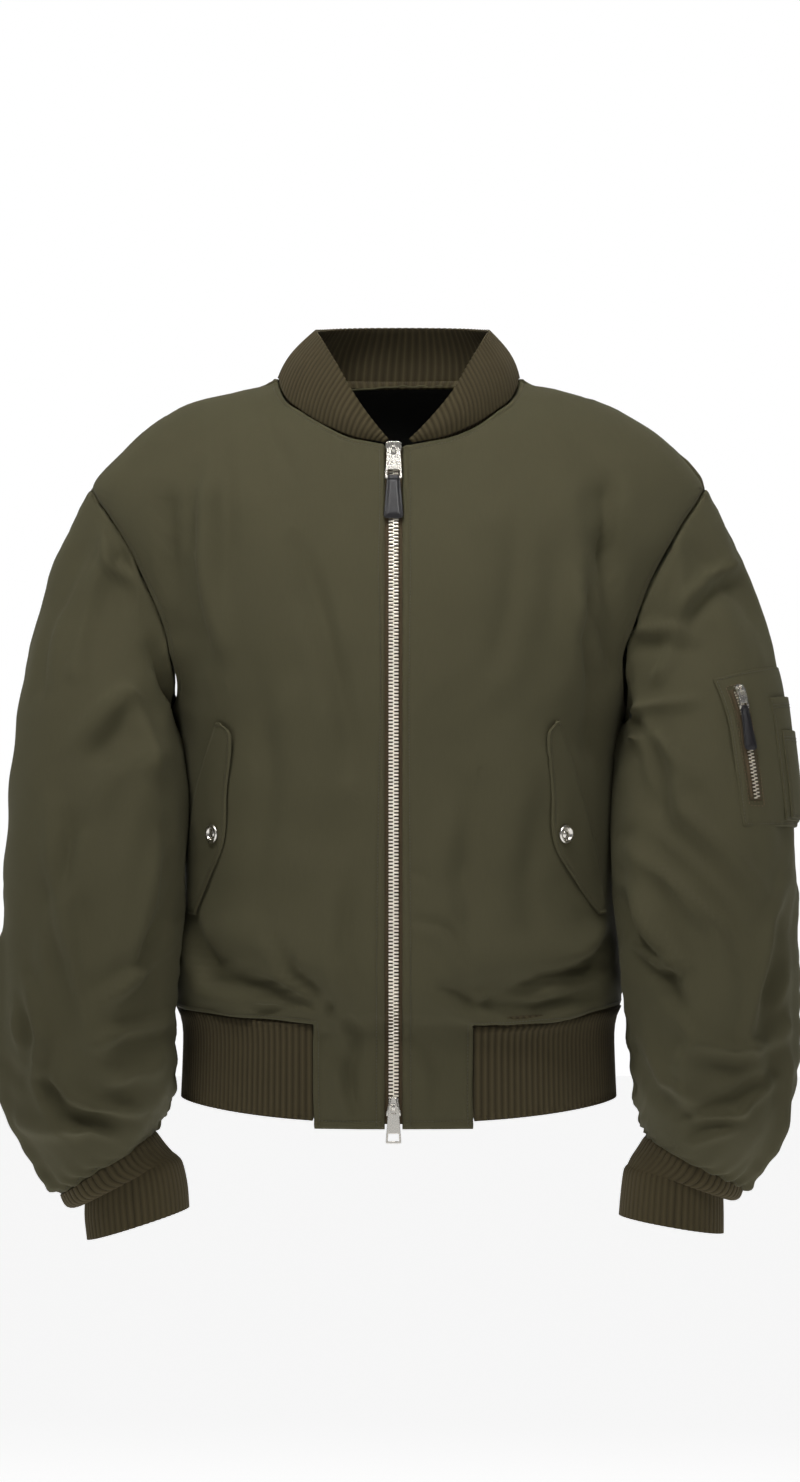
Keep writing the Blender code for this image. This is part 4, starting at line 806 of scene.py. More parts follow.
for side, sign in SIDES.items():
    whole = 1 - TAIL_SHARE
    us = stations(0.0, TAIL_U, 1.0, length=0.24)
    vs = stations(0.0, SHOULDER_END * whole, ARMPIT * whole, whole, 1.0, length=0.54)
    front = lay_out(front_place(side), us, vs)
    corner_u, corner_v = np.searchsorted(us, TAIL_U - 1e-6), np.searchsorted(vs, whole - 1e-6)
    to_tail_side = np.maximum(0.0, front.across[corner_u] - front.across)
    to_knit = np.maximum(0.0, front.down[:, corner_v:corner_v + 1] - front.down)
    round_knit = np.maximum(to_tail_side, to_knit)
    height = soft_ground(front.points[..., 0] + 0.31 * sign, front.points[..., 2])
    height *= np.clip(front.start / 0.04, 0.0, 1.0)
    outer_edge = side_relief(front, front.end, SHOULDER_END * whole, ARMPIT * whole)
    height += np.where(front.v < whole + 1e-6, outer_edge, 0.0)
    height += seam_relief(front.start, front.down, PLACKET_STITCH, pucker=0.0003)
    height += seam_relief(front.top, front.across, NECK_STITCH)
    height += band_relief(round_knit, front.across - front.down)
    tail_edge = seam_relief(front.bottom, front.across, TAIL_STITCH)
    height += np.where(front.v > whole * 0.9, tail_edge, 0.0) * (front.u <= TAIL_U)
    raise_by(front, height)
    middle_u, middle_v = (us[1:] + us[:-1]) / 2, (vs[1:] + vs[:-1]) / 2
    gone = (middle_u[:, None] > TAIL_U) & (middle_v[None] > whole)
    panel = sew("front_cloth_" + side, front, olive_cloth, lining=dark_lining, gone=gone,
                seamed=("end", "top"))
    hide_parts("front_" + side)
    stitch("front_stitching_" + side, [
        line_on(front, front.start, PLACKET_STITCH, 0.012, 0.999),
        line_on(front, front.end, ARMHOLE_STITCH, SHOULDER_END * whole, ARMPIT * whole),
        line_on(front, front.top, NECK_STITCH, 0.03, 1.0, run="u"),
        line_on(front, to_knit, BAND_STITCH, TAIL_U * 0.91, 1.0, run="u"),
        line_on(front, to_tail_side, BAND_STITCH, whole * 0.992, 0.999),
        line_on(front, front.bottom, TAIL_STITCH, 0.01, TAIL_U, run="u"),
    ])

# ---- knit collar, hem and cuffs ------------------------------------------------------------------
# Doubled 1 x 1 rib knit of wool and nylon, a browner olive than the cloth. The collar and hem are
# open bands, each cuff is a tube that is sewn to the gathered sleeve and turns back up on itself.
KNIT = 0.0022             # thickness, without its ribs
RIB = 0.0008              # how far a rib stands out
COLLAR_RIBS, HEM_RIBS, CUFF_RIBS = 104, 172, 52     # ribs along each band
COLUMNS_A_RIB = 6         # columns of faces to each rib
LOOP = 0.0016             # height of one knitted loop
COLLAR_FRONT_SHARE = 0.56 # share of the half collar that is sewn to a front, not to the back
COLLAR_START = 0.05       # share of the front's neck edge that the collar leaves free at the zip
COLLAR_LEAN = 0.0030      # how far its upper edge sits to the wearer's left
COLLAR_ROLL = 0.0045      # how far the collar swells between its seam and its edge
HEM_EDGE = -0.5865        # lower edge of the knit hem, in front
HEM_EDGE_RISE = 0.012     # how much higher it is at the sides

# share of the way from the zip round to the middle of the back, then the collar's upper edge:
# distance from the middle, depth and level
COLLAR_EDGE = (
    (0.000, 0.0078, -0.0862, -0.0535),
    (0.060, 0.0168, -0.0845, -0.0440),
    (0.135, 0.0300, -0.0785, -0.0280),
    (0.205, 0.0410, -0.0710, -0.0120),
    (0.290, 0.0505, -0.0595, 0.0050),
    (0.370, 0.0585, -0.0440, 0.0190),
    (0.455, 0.0650, -0.0265, 0.0305),
    (0.530, 0.0685, -0.0060, 0.0370),
    (0.580, 0.0692, 0.0110, 0.0395),
    (0.680, 0.0645, 0.0330, 0.0415),
    (0.800, 0.0495, 0.0540, 0.0440),
    (0.900, 0.0280, 0.0665, 0.0455),
    (1.000, 0.0000, 0.0710, 0.0460),
)
# share of the way down the knit cuff, then its ring's outer and inner points (distance from the
# middle, level), its middle's depth and its half depth
CUFF = {
    "right": (
        (0.00, 0.2663, -0.6506, 0.1950, -0.6016, -0.0300, 0.0478),
        (0.18, 0.2610, -0.6575, 0.1890, -0.6100, -0.0305, 0.0455),
        (0.34, 0.2510, -0.6540, 0.1820, -0.6180, -0.0310, 0.0410),
        (0.44, 0.2440, -0.6430, 0.1780, -0.6210, -0.0316, 0.0370),
        (0.54, 0.2455, -0.6480, 0.1745, -0.6250, -0.0322, 0.0378),
        (0.78, 0.2465, -0.6660, 0.1705, -0.6420, -0.0334, 0.0380),
        (1.00, 0.2445, -0.6850, 0.1690, -0.6600, -0.0345, 0.0372),
    ),
    "left": (
        (0.00, 0.2713, -0.6446, 0.1975, -0.6056, -0.0300, 0.0478),
        (0.18, 0.2680, -0.6510, 0.1930, -0.6130, -0.0305, 0.0455),
        (0.34, 0.2610, -0.6500, 0.1870, -0.6220, -0.0310, 0.0410),
        (0.44, 0.2535, -0.6410, 0.1840, -0.6280, -0.0316, 0.0370),
        (0.54, 0.2545, -0.6450, 0.1815, -0.6310, -0.0322, 0.0378),
        (0.78, 0.2550, -0.6620, 0.1790, -0.6490, -0.0334, 0.0380),
        (1.00, 0.2550, -0.6800, 0.1775, -0.6660, -0.0345, 0.0372),
    ),
}


def rib_knit(name, colour):
    """Rib knit: each rib is a column of V stitches, with painted light on its crown and painted shade in the hollows
    between ribs. The UV counts ribs and metres.
    """
    made, tree, shader = surface(name, colour, roughness=0.92, specular_ior_level=0.18,
                                 sheen_weight=0.12, sheen_roughness=0.6)
    shader.inputs["Sheen Tint"].default_value = (0.75, 0.62, 0.40, 1.0)
    place = node(tree, "SeparateXYZ", tree.nodes.new("ShaderNodeTexCoord").outputs["UV"])
    across, down = place.node.outputs[0], place.node.outputs[1]
    phase = node(tree, "Math", across, 1.0, operation="MODULO")
    off_crown = node(tree, "Math", node(tree, "Math", phase, -0.5, operation="ADD"), operation="ABSOLUTE")
    lean = node(tree, "Math", off_crown, 7.0, operation="MULTIPLY")
    rows = node(tree, "Math", down, 2 * math.pi / LOOP, operation="MULTIPLY")
    turns = node(tree, "Math", rows, lean, operation="ADD")
    loops = node(tree, "Math", turns, operation="SINE")
    fuzz = node(tree, "TexNoise", tree.nodes.new("ShaderNodeTexCoord").outputs["Object"], None, 900.0, 3.0, 0.7)
    relief = node(tree, "Math", node(tree, "Math", loops, 0.14, operation="MULTIPLY"), fuzz, operation="ADD")
    # painted light and shade: the colour is lighter on each rib's crown and darker in the hollows between ribs
    rib_painted_light_and_shade = node(tree, "Math", node(tree, "Math", off_crown, -1.5, operation="MULTIPLY"), 1.36, operation="ADD")
    cloud = node(tree, "TexNoise", tree.nodes.new("ShaderNodeTexCoord").outputs["Object"], None, 30.0, 3.0, 0.6)
    tone = node(tree, "Math", node(tree, "Math", cloud, 0.24, operation="MULTIPLY"), -0.12, operation="ADD")
    factor = node(tree, "Math", rib_painted_light_and_shade, tone, operation="ADD")
    base = node(tree, "VectorMath", tuple(colour), operation="SCALE")
    tree.links.new(factor, base.node.inputs["Scale"])
    tree.links.new(base, shader.inputs["Base Color"])
    bump = node(tree, "Bump", 0.6, 0.0003)
    tree.links.new(relief, bump.node.inputs["Height"])
    tree.links.new(bump, shader.inputs["Normal"])
    return made


olive_knit = rib_knit("olive_knit", (0.046, 0.0365, 0.0175))


def outward(shape, heart, step=0.002):
    """place(u, v, distance): shape(u, v) moved along its normal, away from the point heart."""
    def normal(u, v):
        return unit(np.cross(shape(u + step, v) - shape(u - step, v), shape(u, v + step) - shape(u, v - step)))

    half = np.full((1, 1), 0.5)
    sign = np.sign(np.sum(normal(half, half)[0, 0] * (shape(half, half)[0, 0] - np.array(heart))))
    return lambda u, v, distance: shape(u, v) + normal(u, v) * (sign * np.asarray(distance))[..., None]


def knit_band(name, place, ribs, rows, replaced, seamed=("top",), closed=False):
    """A band of rib knit with rounded ribs, which flatten a little where the band is sewn on."""
    cut = lay_out(place, np.linspace(0.0, 1.0, ribs * COLUMNS_A_RIB + 1), np.linspace(0.0, 1.0, rows + 1))
    stretch = 0.75 + 0.25 * np.clip(cut.top / 0.006, 0.0, 1.0)
    raise_by(cut, RIB * stretch * (np.abs(np.sin(math.pi * ribs * cut.u)) ** 0.8 - 0.1))
    cut.across = cut.u * ribs
    band = sew(name, cut, olive_knit, thickness=KNIT, edge=0.0008, seamed=seamed)
    if closed:
        bm = bmesh.new()
        bm.from_mesh(band.data)
        bmesh.ops.remove_doubles(bm, verts=bm.verts[:], dist=0.00001)
        bm.to_mesh(band.data)
        bm.free()
    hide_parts(replaced)


def neck_seam(share):
    """The neck seam, on the wearer's left; share runs from the zip to the middle of the back."""
    x, level = read(FRONT_NECK, mix(COLLAR_START, 1.0, share / COLLAR_FRONT_SHARE))
    in_front = section(False, turn_at(x, level), level)
    turn = mix(math.pi / 2, 0.0, (share - COLLAR_FRONT_SHARE) / (1 - COLLAR_FRONT_SHARE))
    behind = section(True, np.clip(turn, 0.0, math.pi / 2), np.full(np.shape(turn), BACK_NECK))
    return np.where((share < COLLAR_FRONT_SHARE)[..., None], in_front, behind)


def collar_shape(u, v):
    """u from the wearer's right front end round the back to the left, v from the seam upwards."""
    sign = np.where(u > 0.5, 1.0, -1.0)
    share = 1 - np.abs(2 * u - 1)
    seam = neck_seam(share)
    away = unit(seam * np.array((1.0, 1.0, 0.0)))
    seam = seam + np.array((0.0, 0.0, 3 * SEAM)) - away * (0.0007 + 2 * SEAM)
    edge = np.moveaxis(read(COLLAR_EDGE, share), 0, -1)
    tall = np.minimum(1.0, np.linalg.norm(edge - seam, axis=-1) / 0.03)
    point = mix(seam, edge, v[..., None]) + away * (COLLAR_ROLL * tall * np.sin(math.pi * v))[..., None]
    point[..., 0] = point[..., 0] * sign + COLLAR_LEAN * v * np.clip(share / 0.2, 0.0, 1.0)
    return point


def hem_shape(u, v):
    """u from the right front's tail round the back to the left's, v from the seam down."""
    share = np.abs(2 * u - 1)
    sign = np.where(u > 0.5, 1.0, -1.0)
    first = sign * ZIP_X + TAIL_WIDTH + SEAM
    turn = np.minimum(math.pi / 2, mix(math.pi, turn_at(first, np.full(np.shape(u), HEM_SEAM)), share))
    seam_level = HEM_SEAM + HEM_SEAM_RISE * np.sin(turn) ** 2 - SEAM
    level = mix(seam_level, HEM_EDGE + HEM_EDGE_RISE * np.sin(turn) ** 2, v)
    turn = mix(math.pi, turn_at(first, level), share)
    behind = torso(True, sign * (math.pi - np.maximum(turn, math.pi / 2)), level)
    in_front = torso(False, sign * np.minimum(turn, math.pi / 2), level)
    return np.where((turn > math.pi / 2)[..., None], behind, in_front)


def ring(sizes, turn):
    """A point of a ring; turn runs from the outer point (0) over the front (0.25) to the inner one."""
    outer_x, outer_z, inner_x, inner_z, middle_y, half_depth = sizes
    cosine = signed_power(np.cos(2 * math.pi * turn), 0.92)
    sine = signed_power(np.sin(2 * math.pi * turn), 0.92)
    return stack((outer_x + inner_x) / 2 + (outer_x - inner_x) / 2 * cosine, middle_y - half_depth * sine,
                 (outer_z + inner_z) / 2 + (outer_z - inner_z) / 2 * cosine)


knit_band("collar_knit", outward(collar_shape, (0.0, 0.0, 0.0)), COLLAR_RIBS, 14, "collar")
knit_band("hem_knit", outward(hem_shape, (0.0, 0.0, -0.55)), HEM_RIBS, 10, "hem_rib",
          seamed=("start", "end", "top"))
for side, sign in SIDES.items():
    def cuff_shape(u, v, side=side, sign=sign):
        return ring(read(CUFF[side], v), u) * np.array((sign, 1.0, 1.0))
    knit_band("cuff_knit_" + side, outward(cuff_shape, (sign * 0.21, -0.028, -0.65)), CUFF_RIBS, 26,
              "cuff_" + side, closed=True)

# ---- sleeves -------------------------------------------------------------------------------------
# A full sleeve in two pieces, seamed over and under the arm, set into the armhole and gathered into
# its cuff. It hangs in long soft folds and crumples along its seams above the cuff.
SLEEVE_CAP_SHARE = 0.30   # share of the sleeve's length that lies above its first full ring
AROUND, DOWN = 0.49, 0.60 # a sleeve laid flat: metres round the arm and down it
RUFFLE = 0.0026           # height of the crumples beside its seams, low down
SLEEVE_HEART = (0.25, 0.0, -0.42)     # a point inside the left sleeve

# share of the way down the sleeve from its first full ring, then a ring as in the cuff's table
SLEEVE = {
    "right": (
        (0.00, 0.3035, -0.2750, 0.1685, -0.2930, -0.0180, 0.0830),
        (0.12, 0.3080, -0.3250, 0.1655, -0.3350, -0.0320, 0.0840),
        (0.26, 0.3110, -0.3850, 0.1672, -0.3900, -0.0430, 0.0830),
        (0.42, 0.3145, -0.4500, 0.1725, -0.4480, -0.0470, 0.0800),
        (0.56, 0.3165, -0.5100, 0.1780, -0.5000, -0.0460, 0.0770),
        (0.67, 0.3150, -0.5550, 0.1745, -0.5380, -0.0430, 0.0740),
        (0.78, 0.3010, -0.6000, 0.1765, -0.5660, -0.0390, 0.0690),
        (0.86, 0.2870, -0.6270, 0.1830, -0.5840, -0.0350, 0.0630),
        (0.93, 0.2755, -0.6440, 0.1895, -0.5940, -0.0320, 0.0560),
        (1.00, 0.2665, -0.6500, 0.1950, -0.6010, -0.0300, 0.0480),
    ),
    "left": (
        (0.00, 0.3065, -0.2750, 0.1715, -0.2930, -0.0180, 0.0830),
        (0.12, 0.3110, -0.3250, 0.1700, -0.3350, -0.0320, 0.0840),
        (0.26, 0.3145, -0.3850, 0.1685, -0.3900, -0.0430, 0.0830),
        (0.42, 0.3165, -0.4500, 0.1730, -0.4480, -0.0470, 0.0800),
        (0.56, 0.3160, -0.5100, 0.1770, -0.5000, -0.0460, 0.0770),
        (0.67, 0.3130, -0.5600, 0.1818, -0.5380, -0.0430, 0.0740),
        (0.78, 0.3010, -0.6050, 0.1860, -0.5680, -0.0390, 0.0690),
        (0.86, 0.2860, -0.6270, 0.1905, -0.5860, -0.0350, 0.0630),
        (0.93, 0.2755, -0.6400, 0.1945, -0.5970, -0.0320, 0.0560),
        (1.00, 0.2715, -0.6440, 0.1975, -0.6050, -0.0300, 0.0480),
    ),
}
# large folds of a sleeve: ends (turn round the arm, share down the sleeve), half width and height
SLEEVE_FOLDS = {
    "right": (
        (0.34, 0.07, 0.52, 0.06, 0.0200, 0.0085),
        (0.13, 0.02, 0.19, 0.20, 0.0100, -0.0060),
        (0.08, 0.06, 0.12, 0.24, 0.0130, 0.0045),
        (0.31, 0.20, 0.36, 0.34, 0.0110, -0.0060),
        (0.22, 0.28, 0.14, 0.60, 0.0200, 0.0045),
        (0.33, 0.34, 0.28, 0.74, 0.0150, -0.0050),
        (0.18, 0.55, 0.21, 0.80, 0.0120, -0.0040),
        (0.03, 0.60, 0.06, 0.95, 0.0100, -0.0060),
        (0.09, 0.76, 0.20, 0.80, 0.0100, 0.0050),
        (0.09, 0.83, 0.22, 0.86, 0.0090, -0.0050),
        (0.84, 0.05, 0.80, 0.25, 0.0140, -0.0050),
        (0.72, 0.15, 0.64, 0.36, 0.0140, -0.0050),
        (0.86, 0.30, 0.80, 0.62, 0.0200, 0.0045),
        (0.68, 0.46, 0.88, 0.56, 0.0150, -0.0050),
        (0.66, 0.64, 0.90, 0.72, 0.0140, -0.0050),
        (0.70, 0.82, 0.92, 0.88, 0.0120, 0.0045),
    ),
    "left": (
        (0.45, 0.11, 0.55, 0.11, 0.0170, 0.0030),
        (0.16, 0.02, 0.30, 0.14, 0.0120, -0.0060),
        (0.12, 0.03, 0.06, 0.14, 0.0120, 0.0045),
        (0.40, 0.18, 0.27, 0.23, 0.0110, -0.0055),
        (0.40, 0.28, 0.29, 0.36, 0.0110, -0.0050),
        (0.36, 0.32, 0.32, 0.66, 0.0170, 0.0045),
        (0.38, 0.48, 0.30, 0.82, 0.0140, -0.0050),
        (0.20, 0.62, 0.30, 0.76, 0.0160, -0.0040),
        (0.10, 0.70, 0.04, 0.96, 0.0100, -0.0060),
        (0.10, 0.72, 0.18, 0.80, 0.0100, 0.0050),
        (0.86, 0.06, 0.80, 0.24, 0.0140, -0.0050),
        (0.74, 0.12, 0.64, 0.32, 0.0140, -0.0050),
        (0.88, 0.34, 0.78, 0.66, 0.0200, 0.0045),
        (0.66, 0.44, 0.86, 0.52, 0.0150, -0.0050),
        (0.68, 0.62, 0.92, 0.70, 0.0140, -0.0050),
        (0.70, 0.80, 0.92, 0.86, 0.0120, 0.0045),
    ),
}
# finer creases: points (distance from the middle, level) seen from the front or the back, then as above
SLEEVE_CREASES = {
    ("right", "front"): (
        (((0.206, -0.083), (0.203, -0.150), (0.206, -0.190)), 0.0055, 0.0040, -0.6),
        (((0.234, -0.118), (0.227, -0.152), (0.206, -0.164)), 0.0055, 0.0066, 0.6),
        (((0.248, -0.160), (0.266, -0.194), (0.272, -0.240)), 0.0080, 0.0046, 0.6),
        (((0.204, -0.243), (0.224, -0.262), (0.257, -0.292)), 0.0090, 0.0058, 0.7),
        (((0.185, -0.300), (0.225, -0.318), (0.240, -0.350)), 0.0090, 0.0040, -0.6),
        (((0.273, -0.340), (0.269, -0.392), (0.261, -0.448)), 0.0070, 0.0060, 0.7),
        (((0.244, -0.367), (0.258, -0.420), (0.252, -0.470), (0.242, -0.520)), 0.0070, 0.0062, -0.7),
        (((0.189, -0.371), (0.197, -0.413), (0.210, -0.469), (0.227, -0.494)), 0.0075, 0.0062, 0.6),
        (((0.178, -0.440), (0.196, -0.468), (0.216, -0.482), (0.236, -0.494)), 0.0055, 0.0060, -0.7),
        (((0.178, -0.507), (0.215, -0.515), (0.246, -0.528)), 0.0055, 0.0056, 0.6),
        (((0.190, -0.545), (0.214, -0.552), (0.236, -0.548)), 0.0065, 0.0042, 0.6),
        (((0.290, -0.481), (0.278, -0.520), (0.286, -0.557), (0.269, -0.587)), 0.0055, 0.0066, 0.7),
        (((0.276, -0.548), (0.258, -0.566), (0.240, -0.574), (0.205, -0.579)), 0.0045, 0.0066, -0.7),
        (((0.262, -0.590), (0.240, -0.592), (0.222, -0.600)), 0.0040, 0.0040, 0.6),
        (((0.300, -0.500), (0.296, -0.530)), 0.0040, 0.0044, 0.6),
    ),
    ("left", "front"): (
        (((0.272, -0.148), (0.246, -0.160), (0.221, -0.186)), 0.0055, 0.0070, -0.6),
        (((0.228, -0.110), (0.212, -0.150), (0.204, -0.176)), 0.0065, 0.0040, 0.6),
        (((0.180, -0.203), (0.213, -0.203), (0.230, -0.211)), 0.0055, 0.0050, 0.6),
        (((0.184, -0.253), (0.196, -0.283), (0.230, -0.317)), 0.0065, 0.0060, 0.6),
        (((0.174, -0.270), (0.190, -0.296), (0.196, -0.330)), 0.0060, 0.0054, -0.6),
        (((0.205, -0.300), (0.220, -0.345), (0.255, -0.376), (0.293, -0.418)), 0.0080, 0.0060, 0.7),
        (((0.183, -0.376), (0.213, -0.401), (0.246, -0.435), (0.255, -0.460)), 0.0060, 0.0066, -0.7),
        (((0.180, -0.401), (0.196, -0.435), (0.221, -0.469), (0.230, -0.498)), 0.0055, 0.0072, 0.7),
        (((0.184, -0.448), (0.203, -0.462), (0.224, -0.464)), 0.0040, 0.0060, 0.6),
        (((0.300, -0.400), (0.285, -0.456), (0.272, -0.519), (0.288, -0.557)), 0.0070, 0.0064, -0.7),
        (((0.213, -0.494), (0.230, -0.519), (0.221, -0.545)), 0.0065, 0.0052, 0.6),
        (((0.230, -0.524), (0.263, -0.532), (0.297, -0.524)), 0.0050, 0.0052, 0.6),
        (((0.190, -0.520), (0.206, -0.556), (0.236, -0.570)), 0.0060, 0.0046, 0.6),
        (((0.292, -0.557), (0.267, -0.578), (0.234, -0.583)), 0.0045, 0.0068, 0.7),
        (((0.262, -0.592), (0.244, -0.597), (0.226, -0.606)), 0.0040, 0.0040, 0.6),
        (((0.304, -0.470), (0.296, -0.500)), 0.0045, 0.0044, 0.6),
    ),
    ("right", "back"): (
        (((0.226, -0.120), (0.214, -0.170), (0.205, -0.220)), 0.0065, 0.0056, 0.6),
        (((0.190, -0.250), (0.225, -0.275), (0.262, -0.300)), 0.0080, 0.0056, 0.7),
        (((0.270, -0.320), (0.262, -0.380), (0.246, -0.430)), 0.0080, 0.0056, -0.7),
        (((0.184, -0.400), (0.214, -0.425), (0.252, -0.440)), 0.0060, 0.0060, 0.6),
        (((0.292, -0.440), (0.262, -0.466), (0.220, -0.478)), 0.0060, 0.0062, -0.6),
        (((0.186, -0.480), (0.205, -0.512), (0.238, -0.530)), 0.0060, 0.0056, 0.6),
        (((0.290, -0.510), (0.268, -0.545), (0.236, -0.558)), 0.0050, 0.0062, 0.7),
        (((0.205, -0.570), (0.232, -0.585), (0.258, -0.592)), 0.0045, 0.0048, 0.6),
    ),
    ("left", "back"): (
        (((0.232, -0.118), (0.222, -0.165), (0.202, -0.215)), 0.0065, 0.0056, -0.6),
        (((0.188, -0.262), (0.220, -0.290), (0.266, -0.306)), 0.0080, 0.0056, 0.7),
        (((0.205, -0.310), (0.226, -0.360), (0.262, -0.400)), 0.0085, 0.0056, 0.6),
        (((0.186, -0.388), (0.222, -0.412), (0.256, -0.420)), 0.0055, 0.0060, -0.6),
        (((0.292, -0.430), (0.270, -0.462), (0.228, -0.470)), 0.0060, 0.0064, 0.7),
        (((0.192, -0.470), (0.212, -0.500), (0.246, -0.516)), 0.0060, 0.0054, 0.6),
        (((0.294, -0.520), (0.262, -0.546), (0.230, -0.552)), 0.0050, 0.0060, -0.7),
        (((0.208, -0.574), (0.236, -0.588), (0.262, -0.590)), 0.0045, 0.0048, 0.6),
    ),
}


def armhole_point(sign, turn):
    """The armhole as the sleeve meets it, as if on the wearer's left; turn as for a ring."""
    share = 1 - np.abs(1 - 2 * (turn % 1.0))
    edges = []
    for behind in (False, True):
        angle, level = armhole_turn(behind, share)
        point = torso(behind, sign * angle, level)
        point = point * np.array((sign, 1.0, 1.0)) + np.array((2 * SEAM, 0.0, 0.0))
        point[..., 1] -= HALF_SEAM if behind else -HALF_SEAM
        edges.append(point)
    return np.where((turn % 1.0 > 0.5)[..., None], edges[1], edges[0])


def sleeve_shape(side):
    """shape(u, v) of a whole sleeve: u round the arm as a ring's turn, v from armhole to cuff."""
    sign = SIDES[side]
    table = SLEEVE[side]
    first, below_first = read(table, np.zeros(1)), read(table, np.full(1, 0.02))

    def plain(u, v):
        below = ring(read(table, (v - SLEEVE_CAP_SHARE) / (1 - SLEEVE_CAP_SHARE)), u)
        share = v / SLEEVE_CAP_SHARE
        same = u[:, :1] if np.ptp(u, axis=1).max() < 1e-9 else u
        start, end = armhole_point(sign, same), ring(first, u)
        reach = np.linalg.norm(end - start, axis=-1)
        over = 0.5 + 0.5 * np.cos(2 * math.pi * u)
        leave = stack(mix(0.25, 0.62, over) * reach, 0.0, -mix(0.9, 0.95, over) * reach)
        arrive = unit(ring(below_first, u) - end) * (0.95 * reach)[..., None]
        square, cube = (share ** 2)[..., None], (share ** 3)[..., None]
        cap = start * (2 * cube - 3 * square + 1) + end * (3 * square - 2 * cube)
        cap += leave * (cube - 2 * square + share[..., None]) + arrive * (cube - square)
        return np.where((v >= SLEEVE_CAP_SHARE)[..., None], below, cap) * np.array((sign, 1.0, 1.0))

    def folded(u, v):
        point = plain(u, v)
        height = np.zeros(u.shape)
        for u0, v0, u1, v1, width, rise in SLEEVE_FOLDS[side]:
            ends = (u0 * AROUND, v0 * DOWN), (u1 * AROUND, v1 * DOWN)
            height += rise * np.exp(-(along(u * AROUND, v * DOWN, ends)[0] / width) ** 2)
        height *= np.clip(np.minimum(v / 0.06, (1 - v) / 0.05), 0.0, 1.0)
        x, level = point[..., 0] * sign, point[..., 2]
        turn = u % 1.0
        fade = np.clip(4 * np.abs(np.sin(2 * math.pi * u)), 0.0, 1.0)
        fade *= np.clip(np.minimum(v / 0.03, (1 - v) / 0.03), 0.0, 1.0)
        seen = np.where(turn < 0.5, creases_at(x, level, SLEEVE_CREASES[side, "front"]),
                        creases_at(x, level, SLEEVE_CREASES[side, "back"]))
        height += seen * fade
        step = 0.004
        out = np.cross(plain(u + step, v) - plain(u - step, v), plain(u, v + step) - plain(u, v - step))
        return point + unit(out) * (height * -sign)[..., None]

    return folded


def sleeve_relief(cut):
    """Seams over and under the arm, crumpled low down; the armhole; the gathers above the cuff."""
    low = np.clip((cut.v - 0.55) / 0.3, 0.0, 1.0)
    height = soft_ground(cut.points[..., 1] * 1.3 + cut.points[..., 0], cut.points[..., 2], 0.0016)
    for seam in (cut.start, cut.end):
        height += seam_relief(seam, cut.down, pucker=0.0004)
        ruffle = np.sin(2 * math.pi * cut.down / 0.021 + 1.8 * np.sin(cut.down / 0.031))
        height += RUFFLE * low * ruffle * np.exp(-seam / 0.016) * np.clip(seam / 0.004, 0.0, 1.0)
    height += seam_relief(cut.top, cut.across, pucker=0.0005, pitch=0.02)
    height += band_relief(cut.bottom, cut.across, pucker=0.0020, pitch=0.016)
    return height


for side, sign in SIDES.items():
    whole_sleeve = sleeve_shape(side)
    for half, first_turn, apart in (("front", 0.0, -HALF_SEAM), ("back", 0.5, HALF_SEAM)):
        def half_shape(u, v, whole_sleeve=whole_sleeve, first_turn=first_turn, apart=apart):
            return whole_sleeve(first_turn + 0.5 * u, v) + np.array((0.0, apart, 0.0))
        place = outward(half_shape, (sign * SLEEVE_HEART[0], *SLEEVE_HEART[1:]))
        cut = lay_out(place, stations(0.0, 1.0, length=0.24), stations(0.0, 1.0, length=0.58))
        raise_by(cut, sleeve_relief(cut))
        half_sleeve = sew("sleeve_" + half + "_cloth_" + side, cut, olive_cloth, lining=dark_lining,
                          seamed=("start", "end", "top", "bottom"))
        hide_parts("sleeve_" + half + "_" + side)
        stitch("sleeve_" + half + "_stitching_" + side,
               [line_on(cut, cut.bottom, BAND_STITCH, 0.005, 0.995, run="u")])

# ---- front zip -----------------------------------------------------------------------------------
# A two-way metal zip: woven tapes sewn behind the folded fronts, and a closed chain of separate
# polished teeth, each clamped on its own tape and set half a pitch from those opposite.
TEETH_PITCH = 0.0028      # from tooth to tooth on one side
TOOTH = (0.0044, 0.0015, 0.0024)      # across the zip, along it, through it
CHAIN_PROUD = 0.0004      # how far the teeth stand proud of the cloth beside them
CHAIN_TOP, CHAIN_LOW = -0.0600, -0.5760
TAPE_LOW = FRONT_TAIL + 0.004
TAPE_EDGE = 0.0159        # the tape reaches this far from the middle of the chain
TAPE_BEHIND = 0.0024      # how far it lies behind the face of the cloth

tape_brown = woven_cloth("brown_tape", (0.070, 0.050, 0.027), streak=0.16, thread=0.0007)


def polished_metal(name, colour, roughness=0.24, marks=0.10):
    """Plated metal: bright, with slight wear marks that dull it here and there."""
    made, tree, shader = surface(name, colour, metallic=1.0)
    place = tree.nodes.new("ShaderNodeTexCoord").outputs["Object"]
    wear = node(tree, "TexNoise", place, None, 420.0, 4.0, 0.7)
    rough = node(tree, "MapRange", wear, 0.35, 0.70, roughness - marks / 2, roughness + marks)
    tree.links.new(rough, shader.inputs["Roughness"])
    bump = node(tree, "Bump", 0.06, 0.00005)
    tree.links.new(wear, bump.node.inputs["Height"])
    tree.links.new(bump, shader.inputs["Normal"])
    return made


silver = polished_metal("silver", (0.80, 0.77, 0.71), roughness=0.26, marks=0.04)
teeth_metal = polished_metal("teeth_silver", (0.95, 0.89, 0.78), roughness=0.42)


def front_out(x, level, distance):
    """A point of the fronts, x across and `distance` proud of the cloth."""
    return torso_out(False, turn_at(x, level), level, distance)


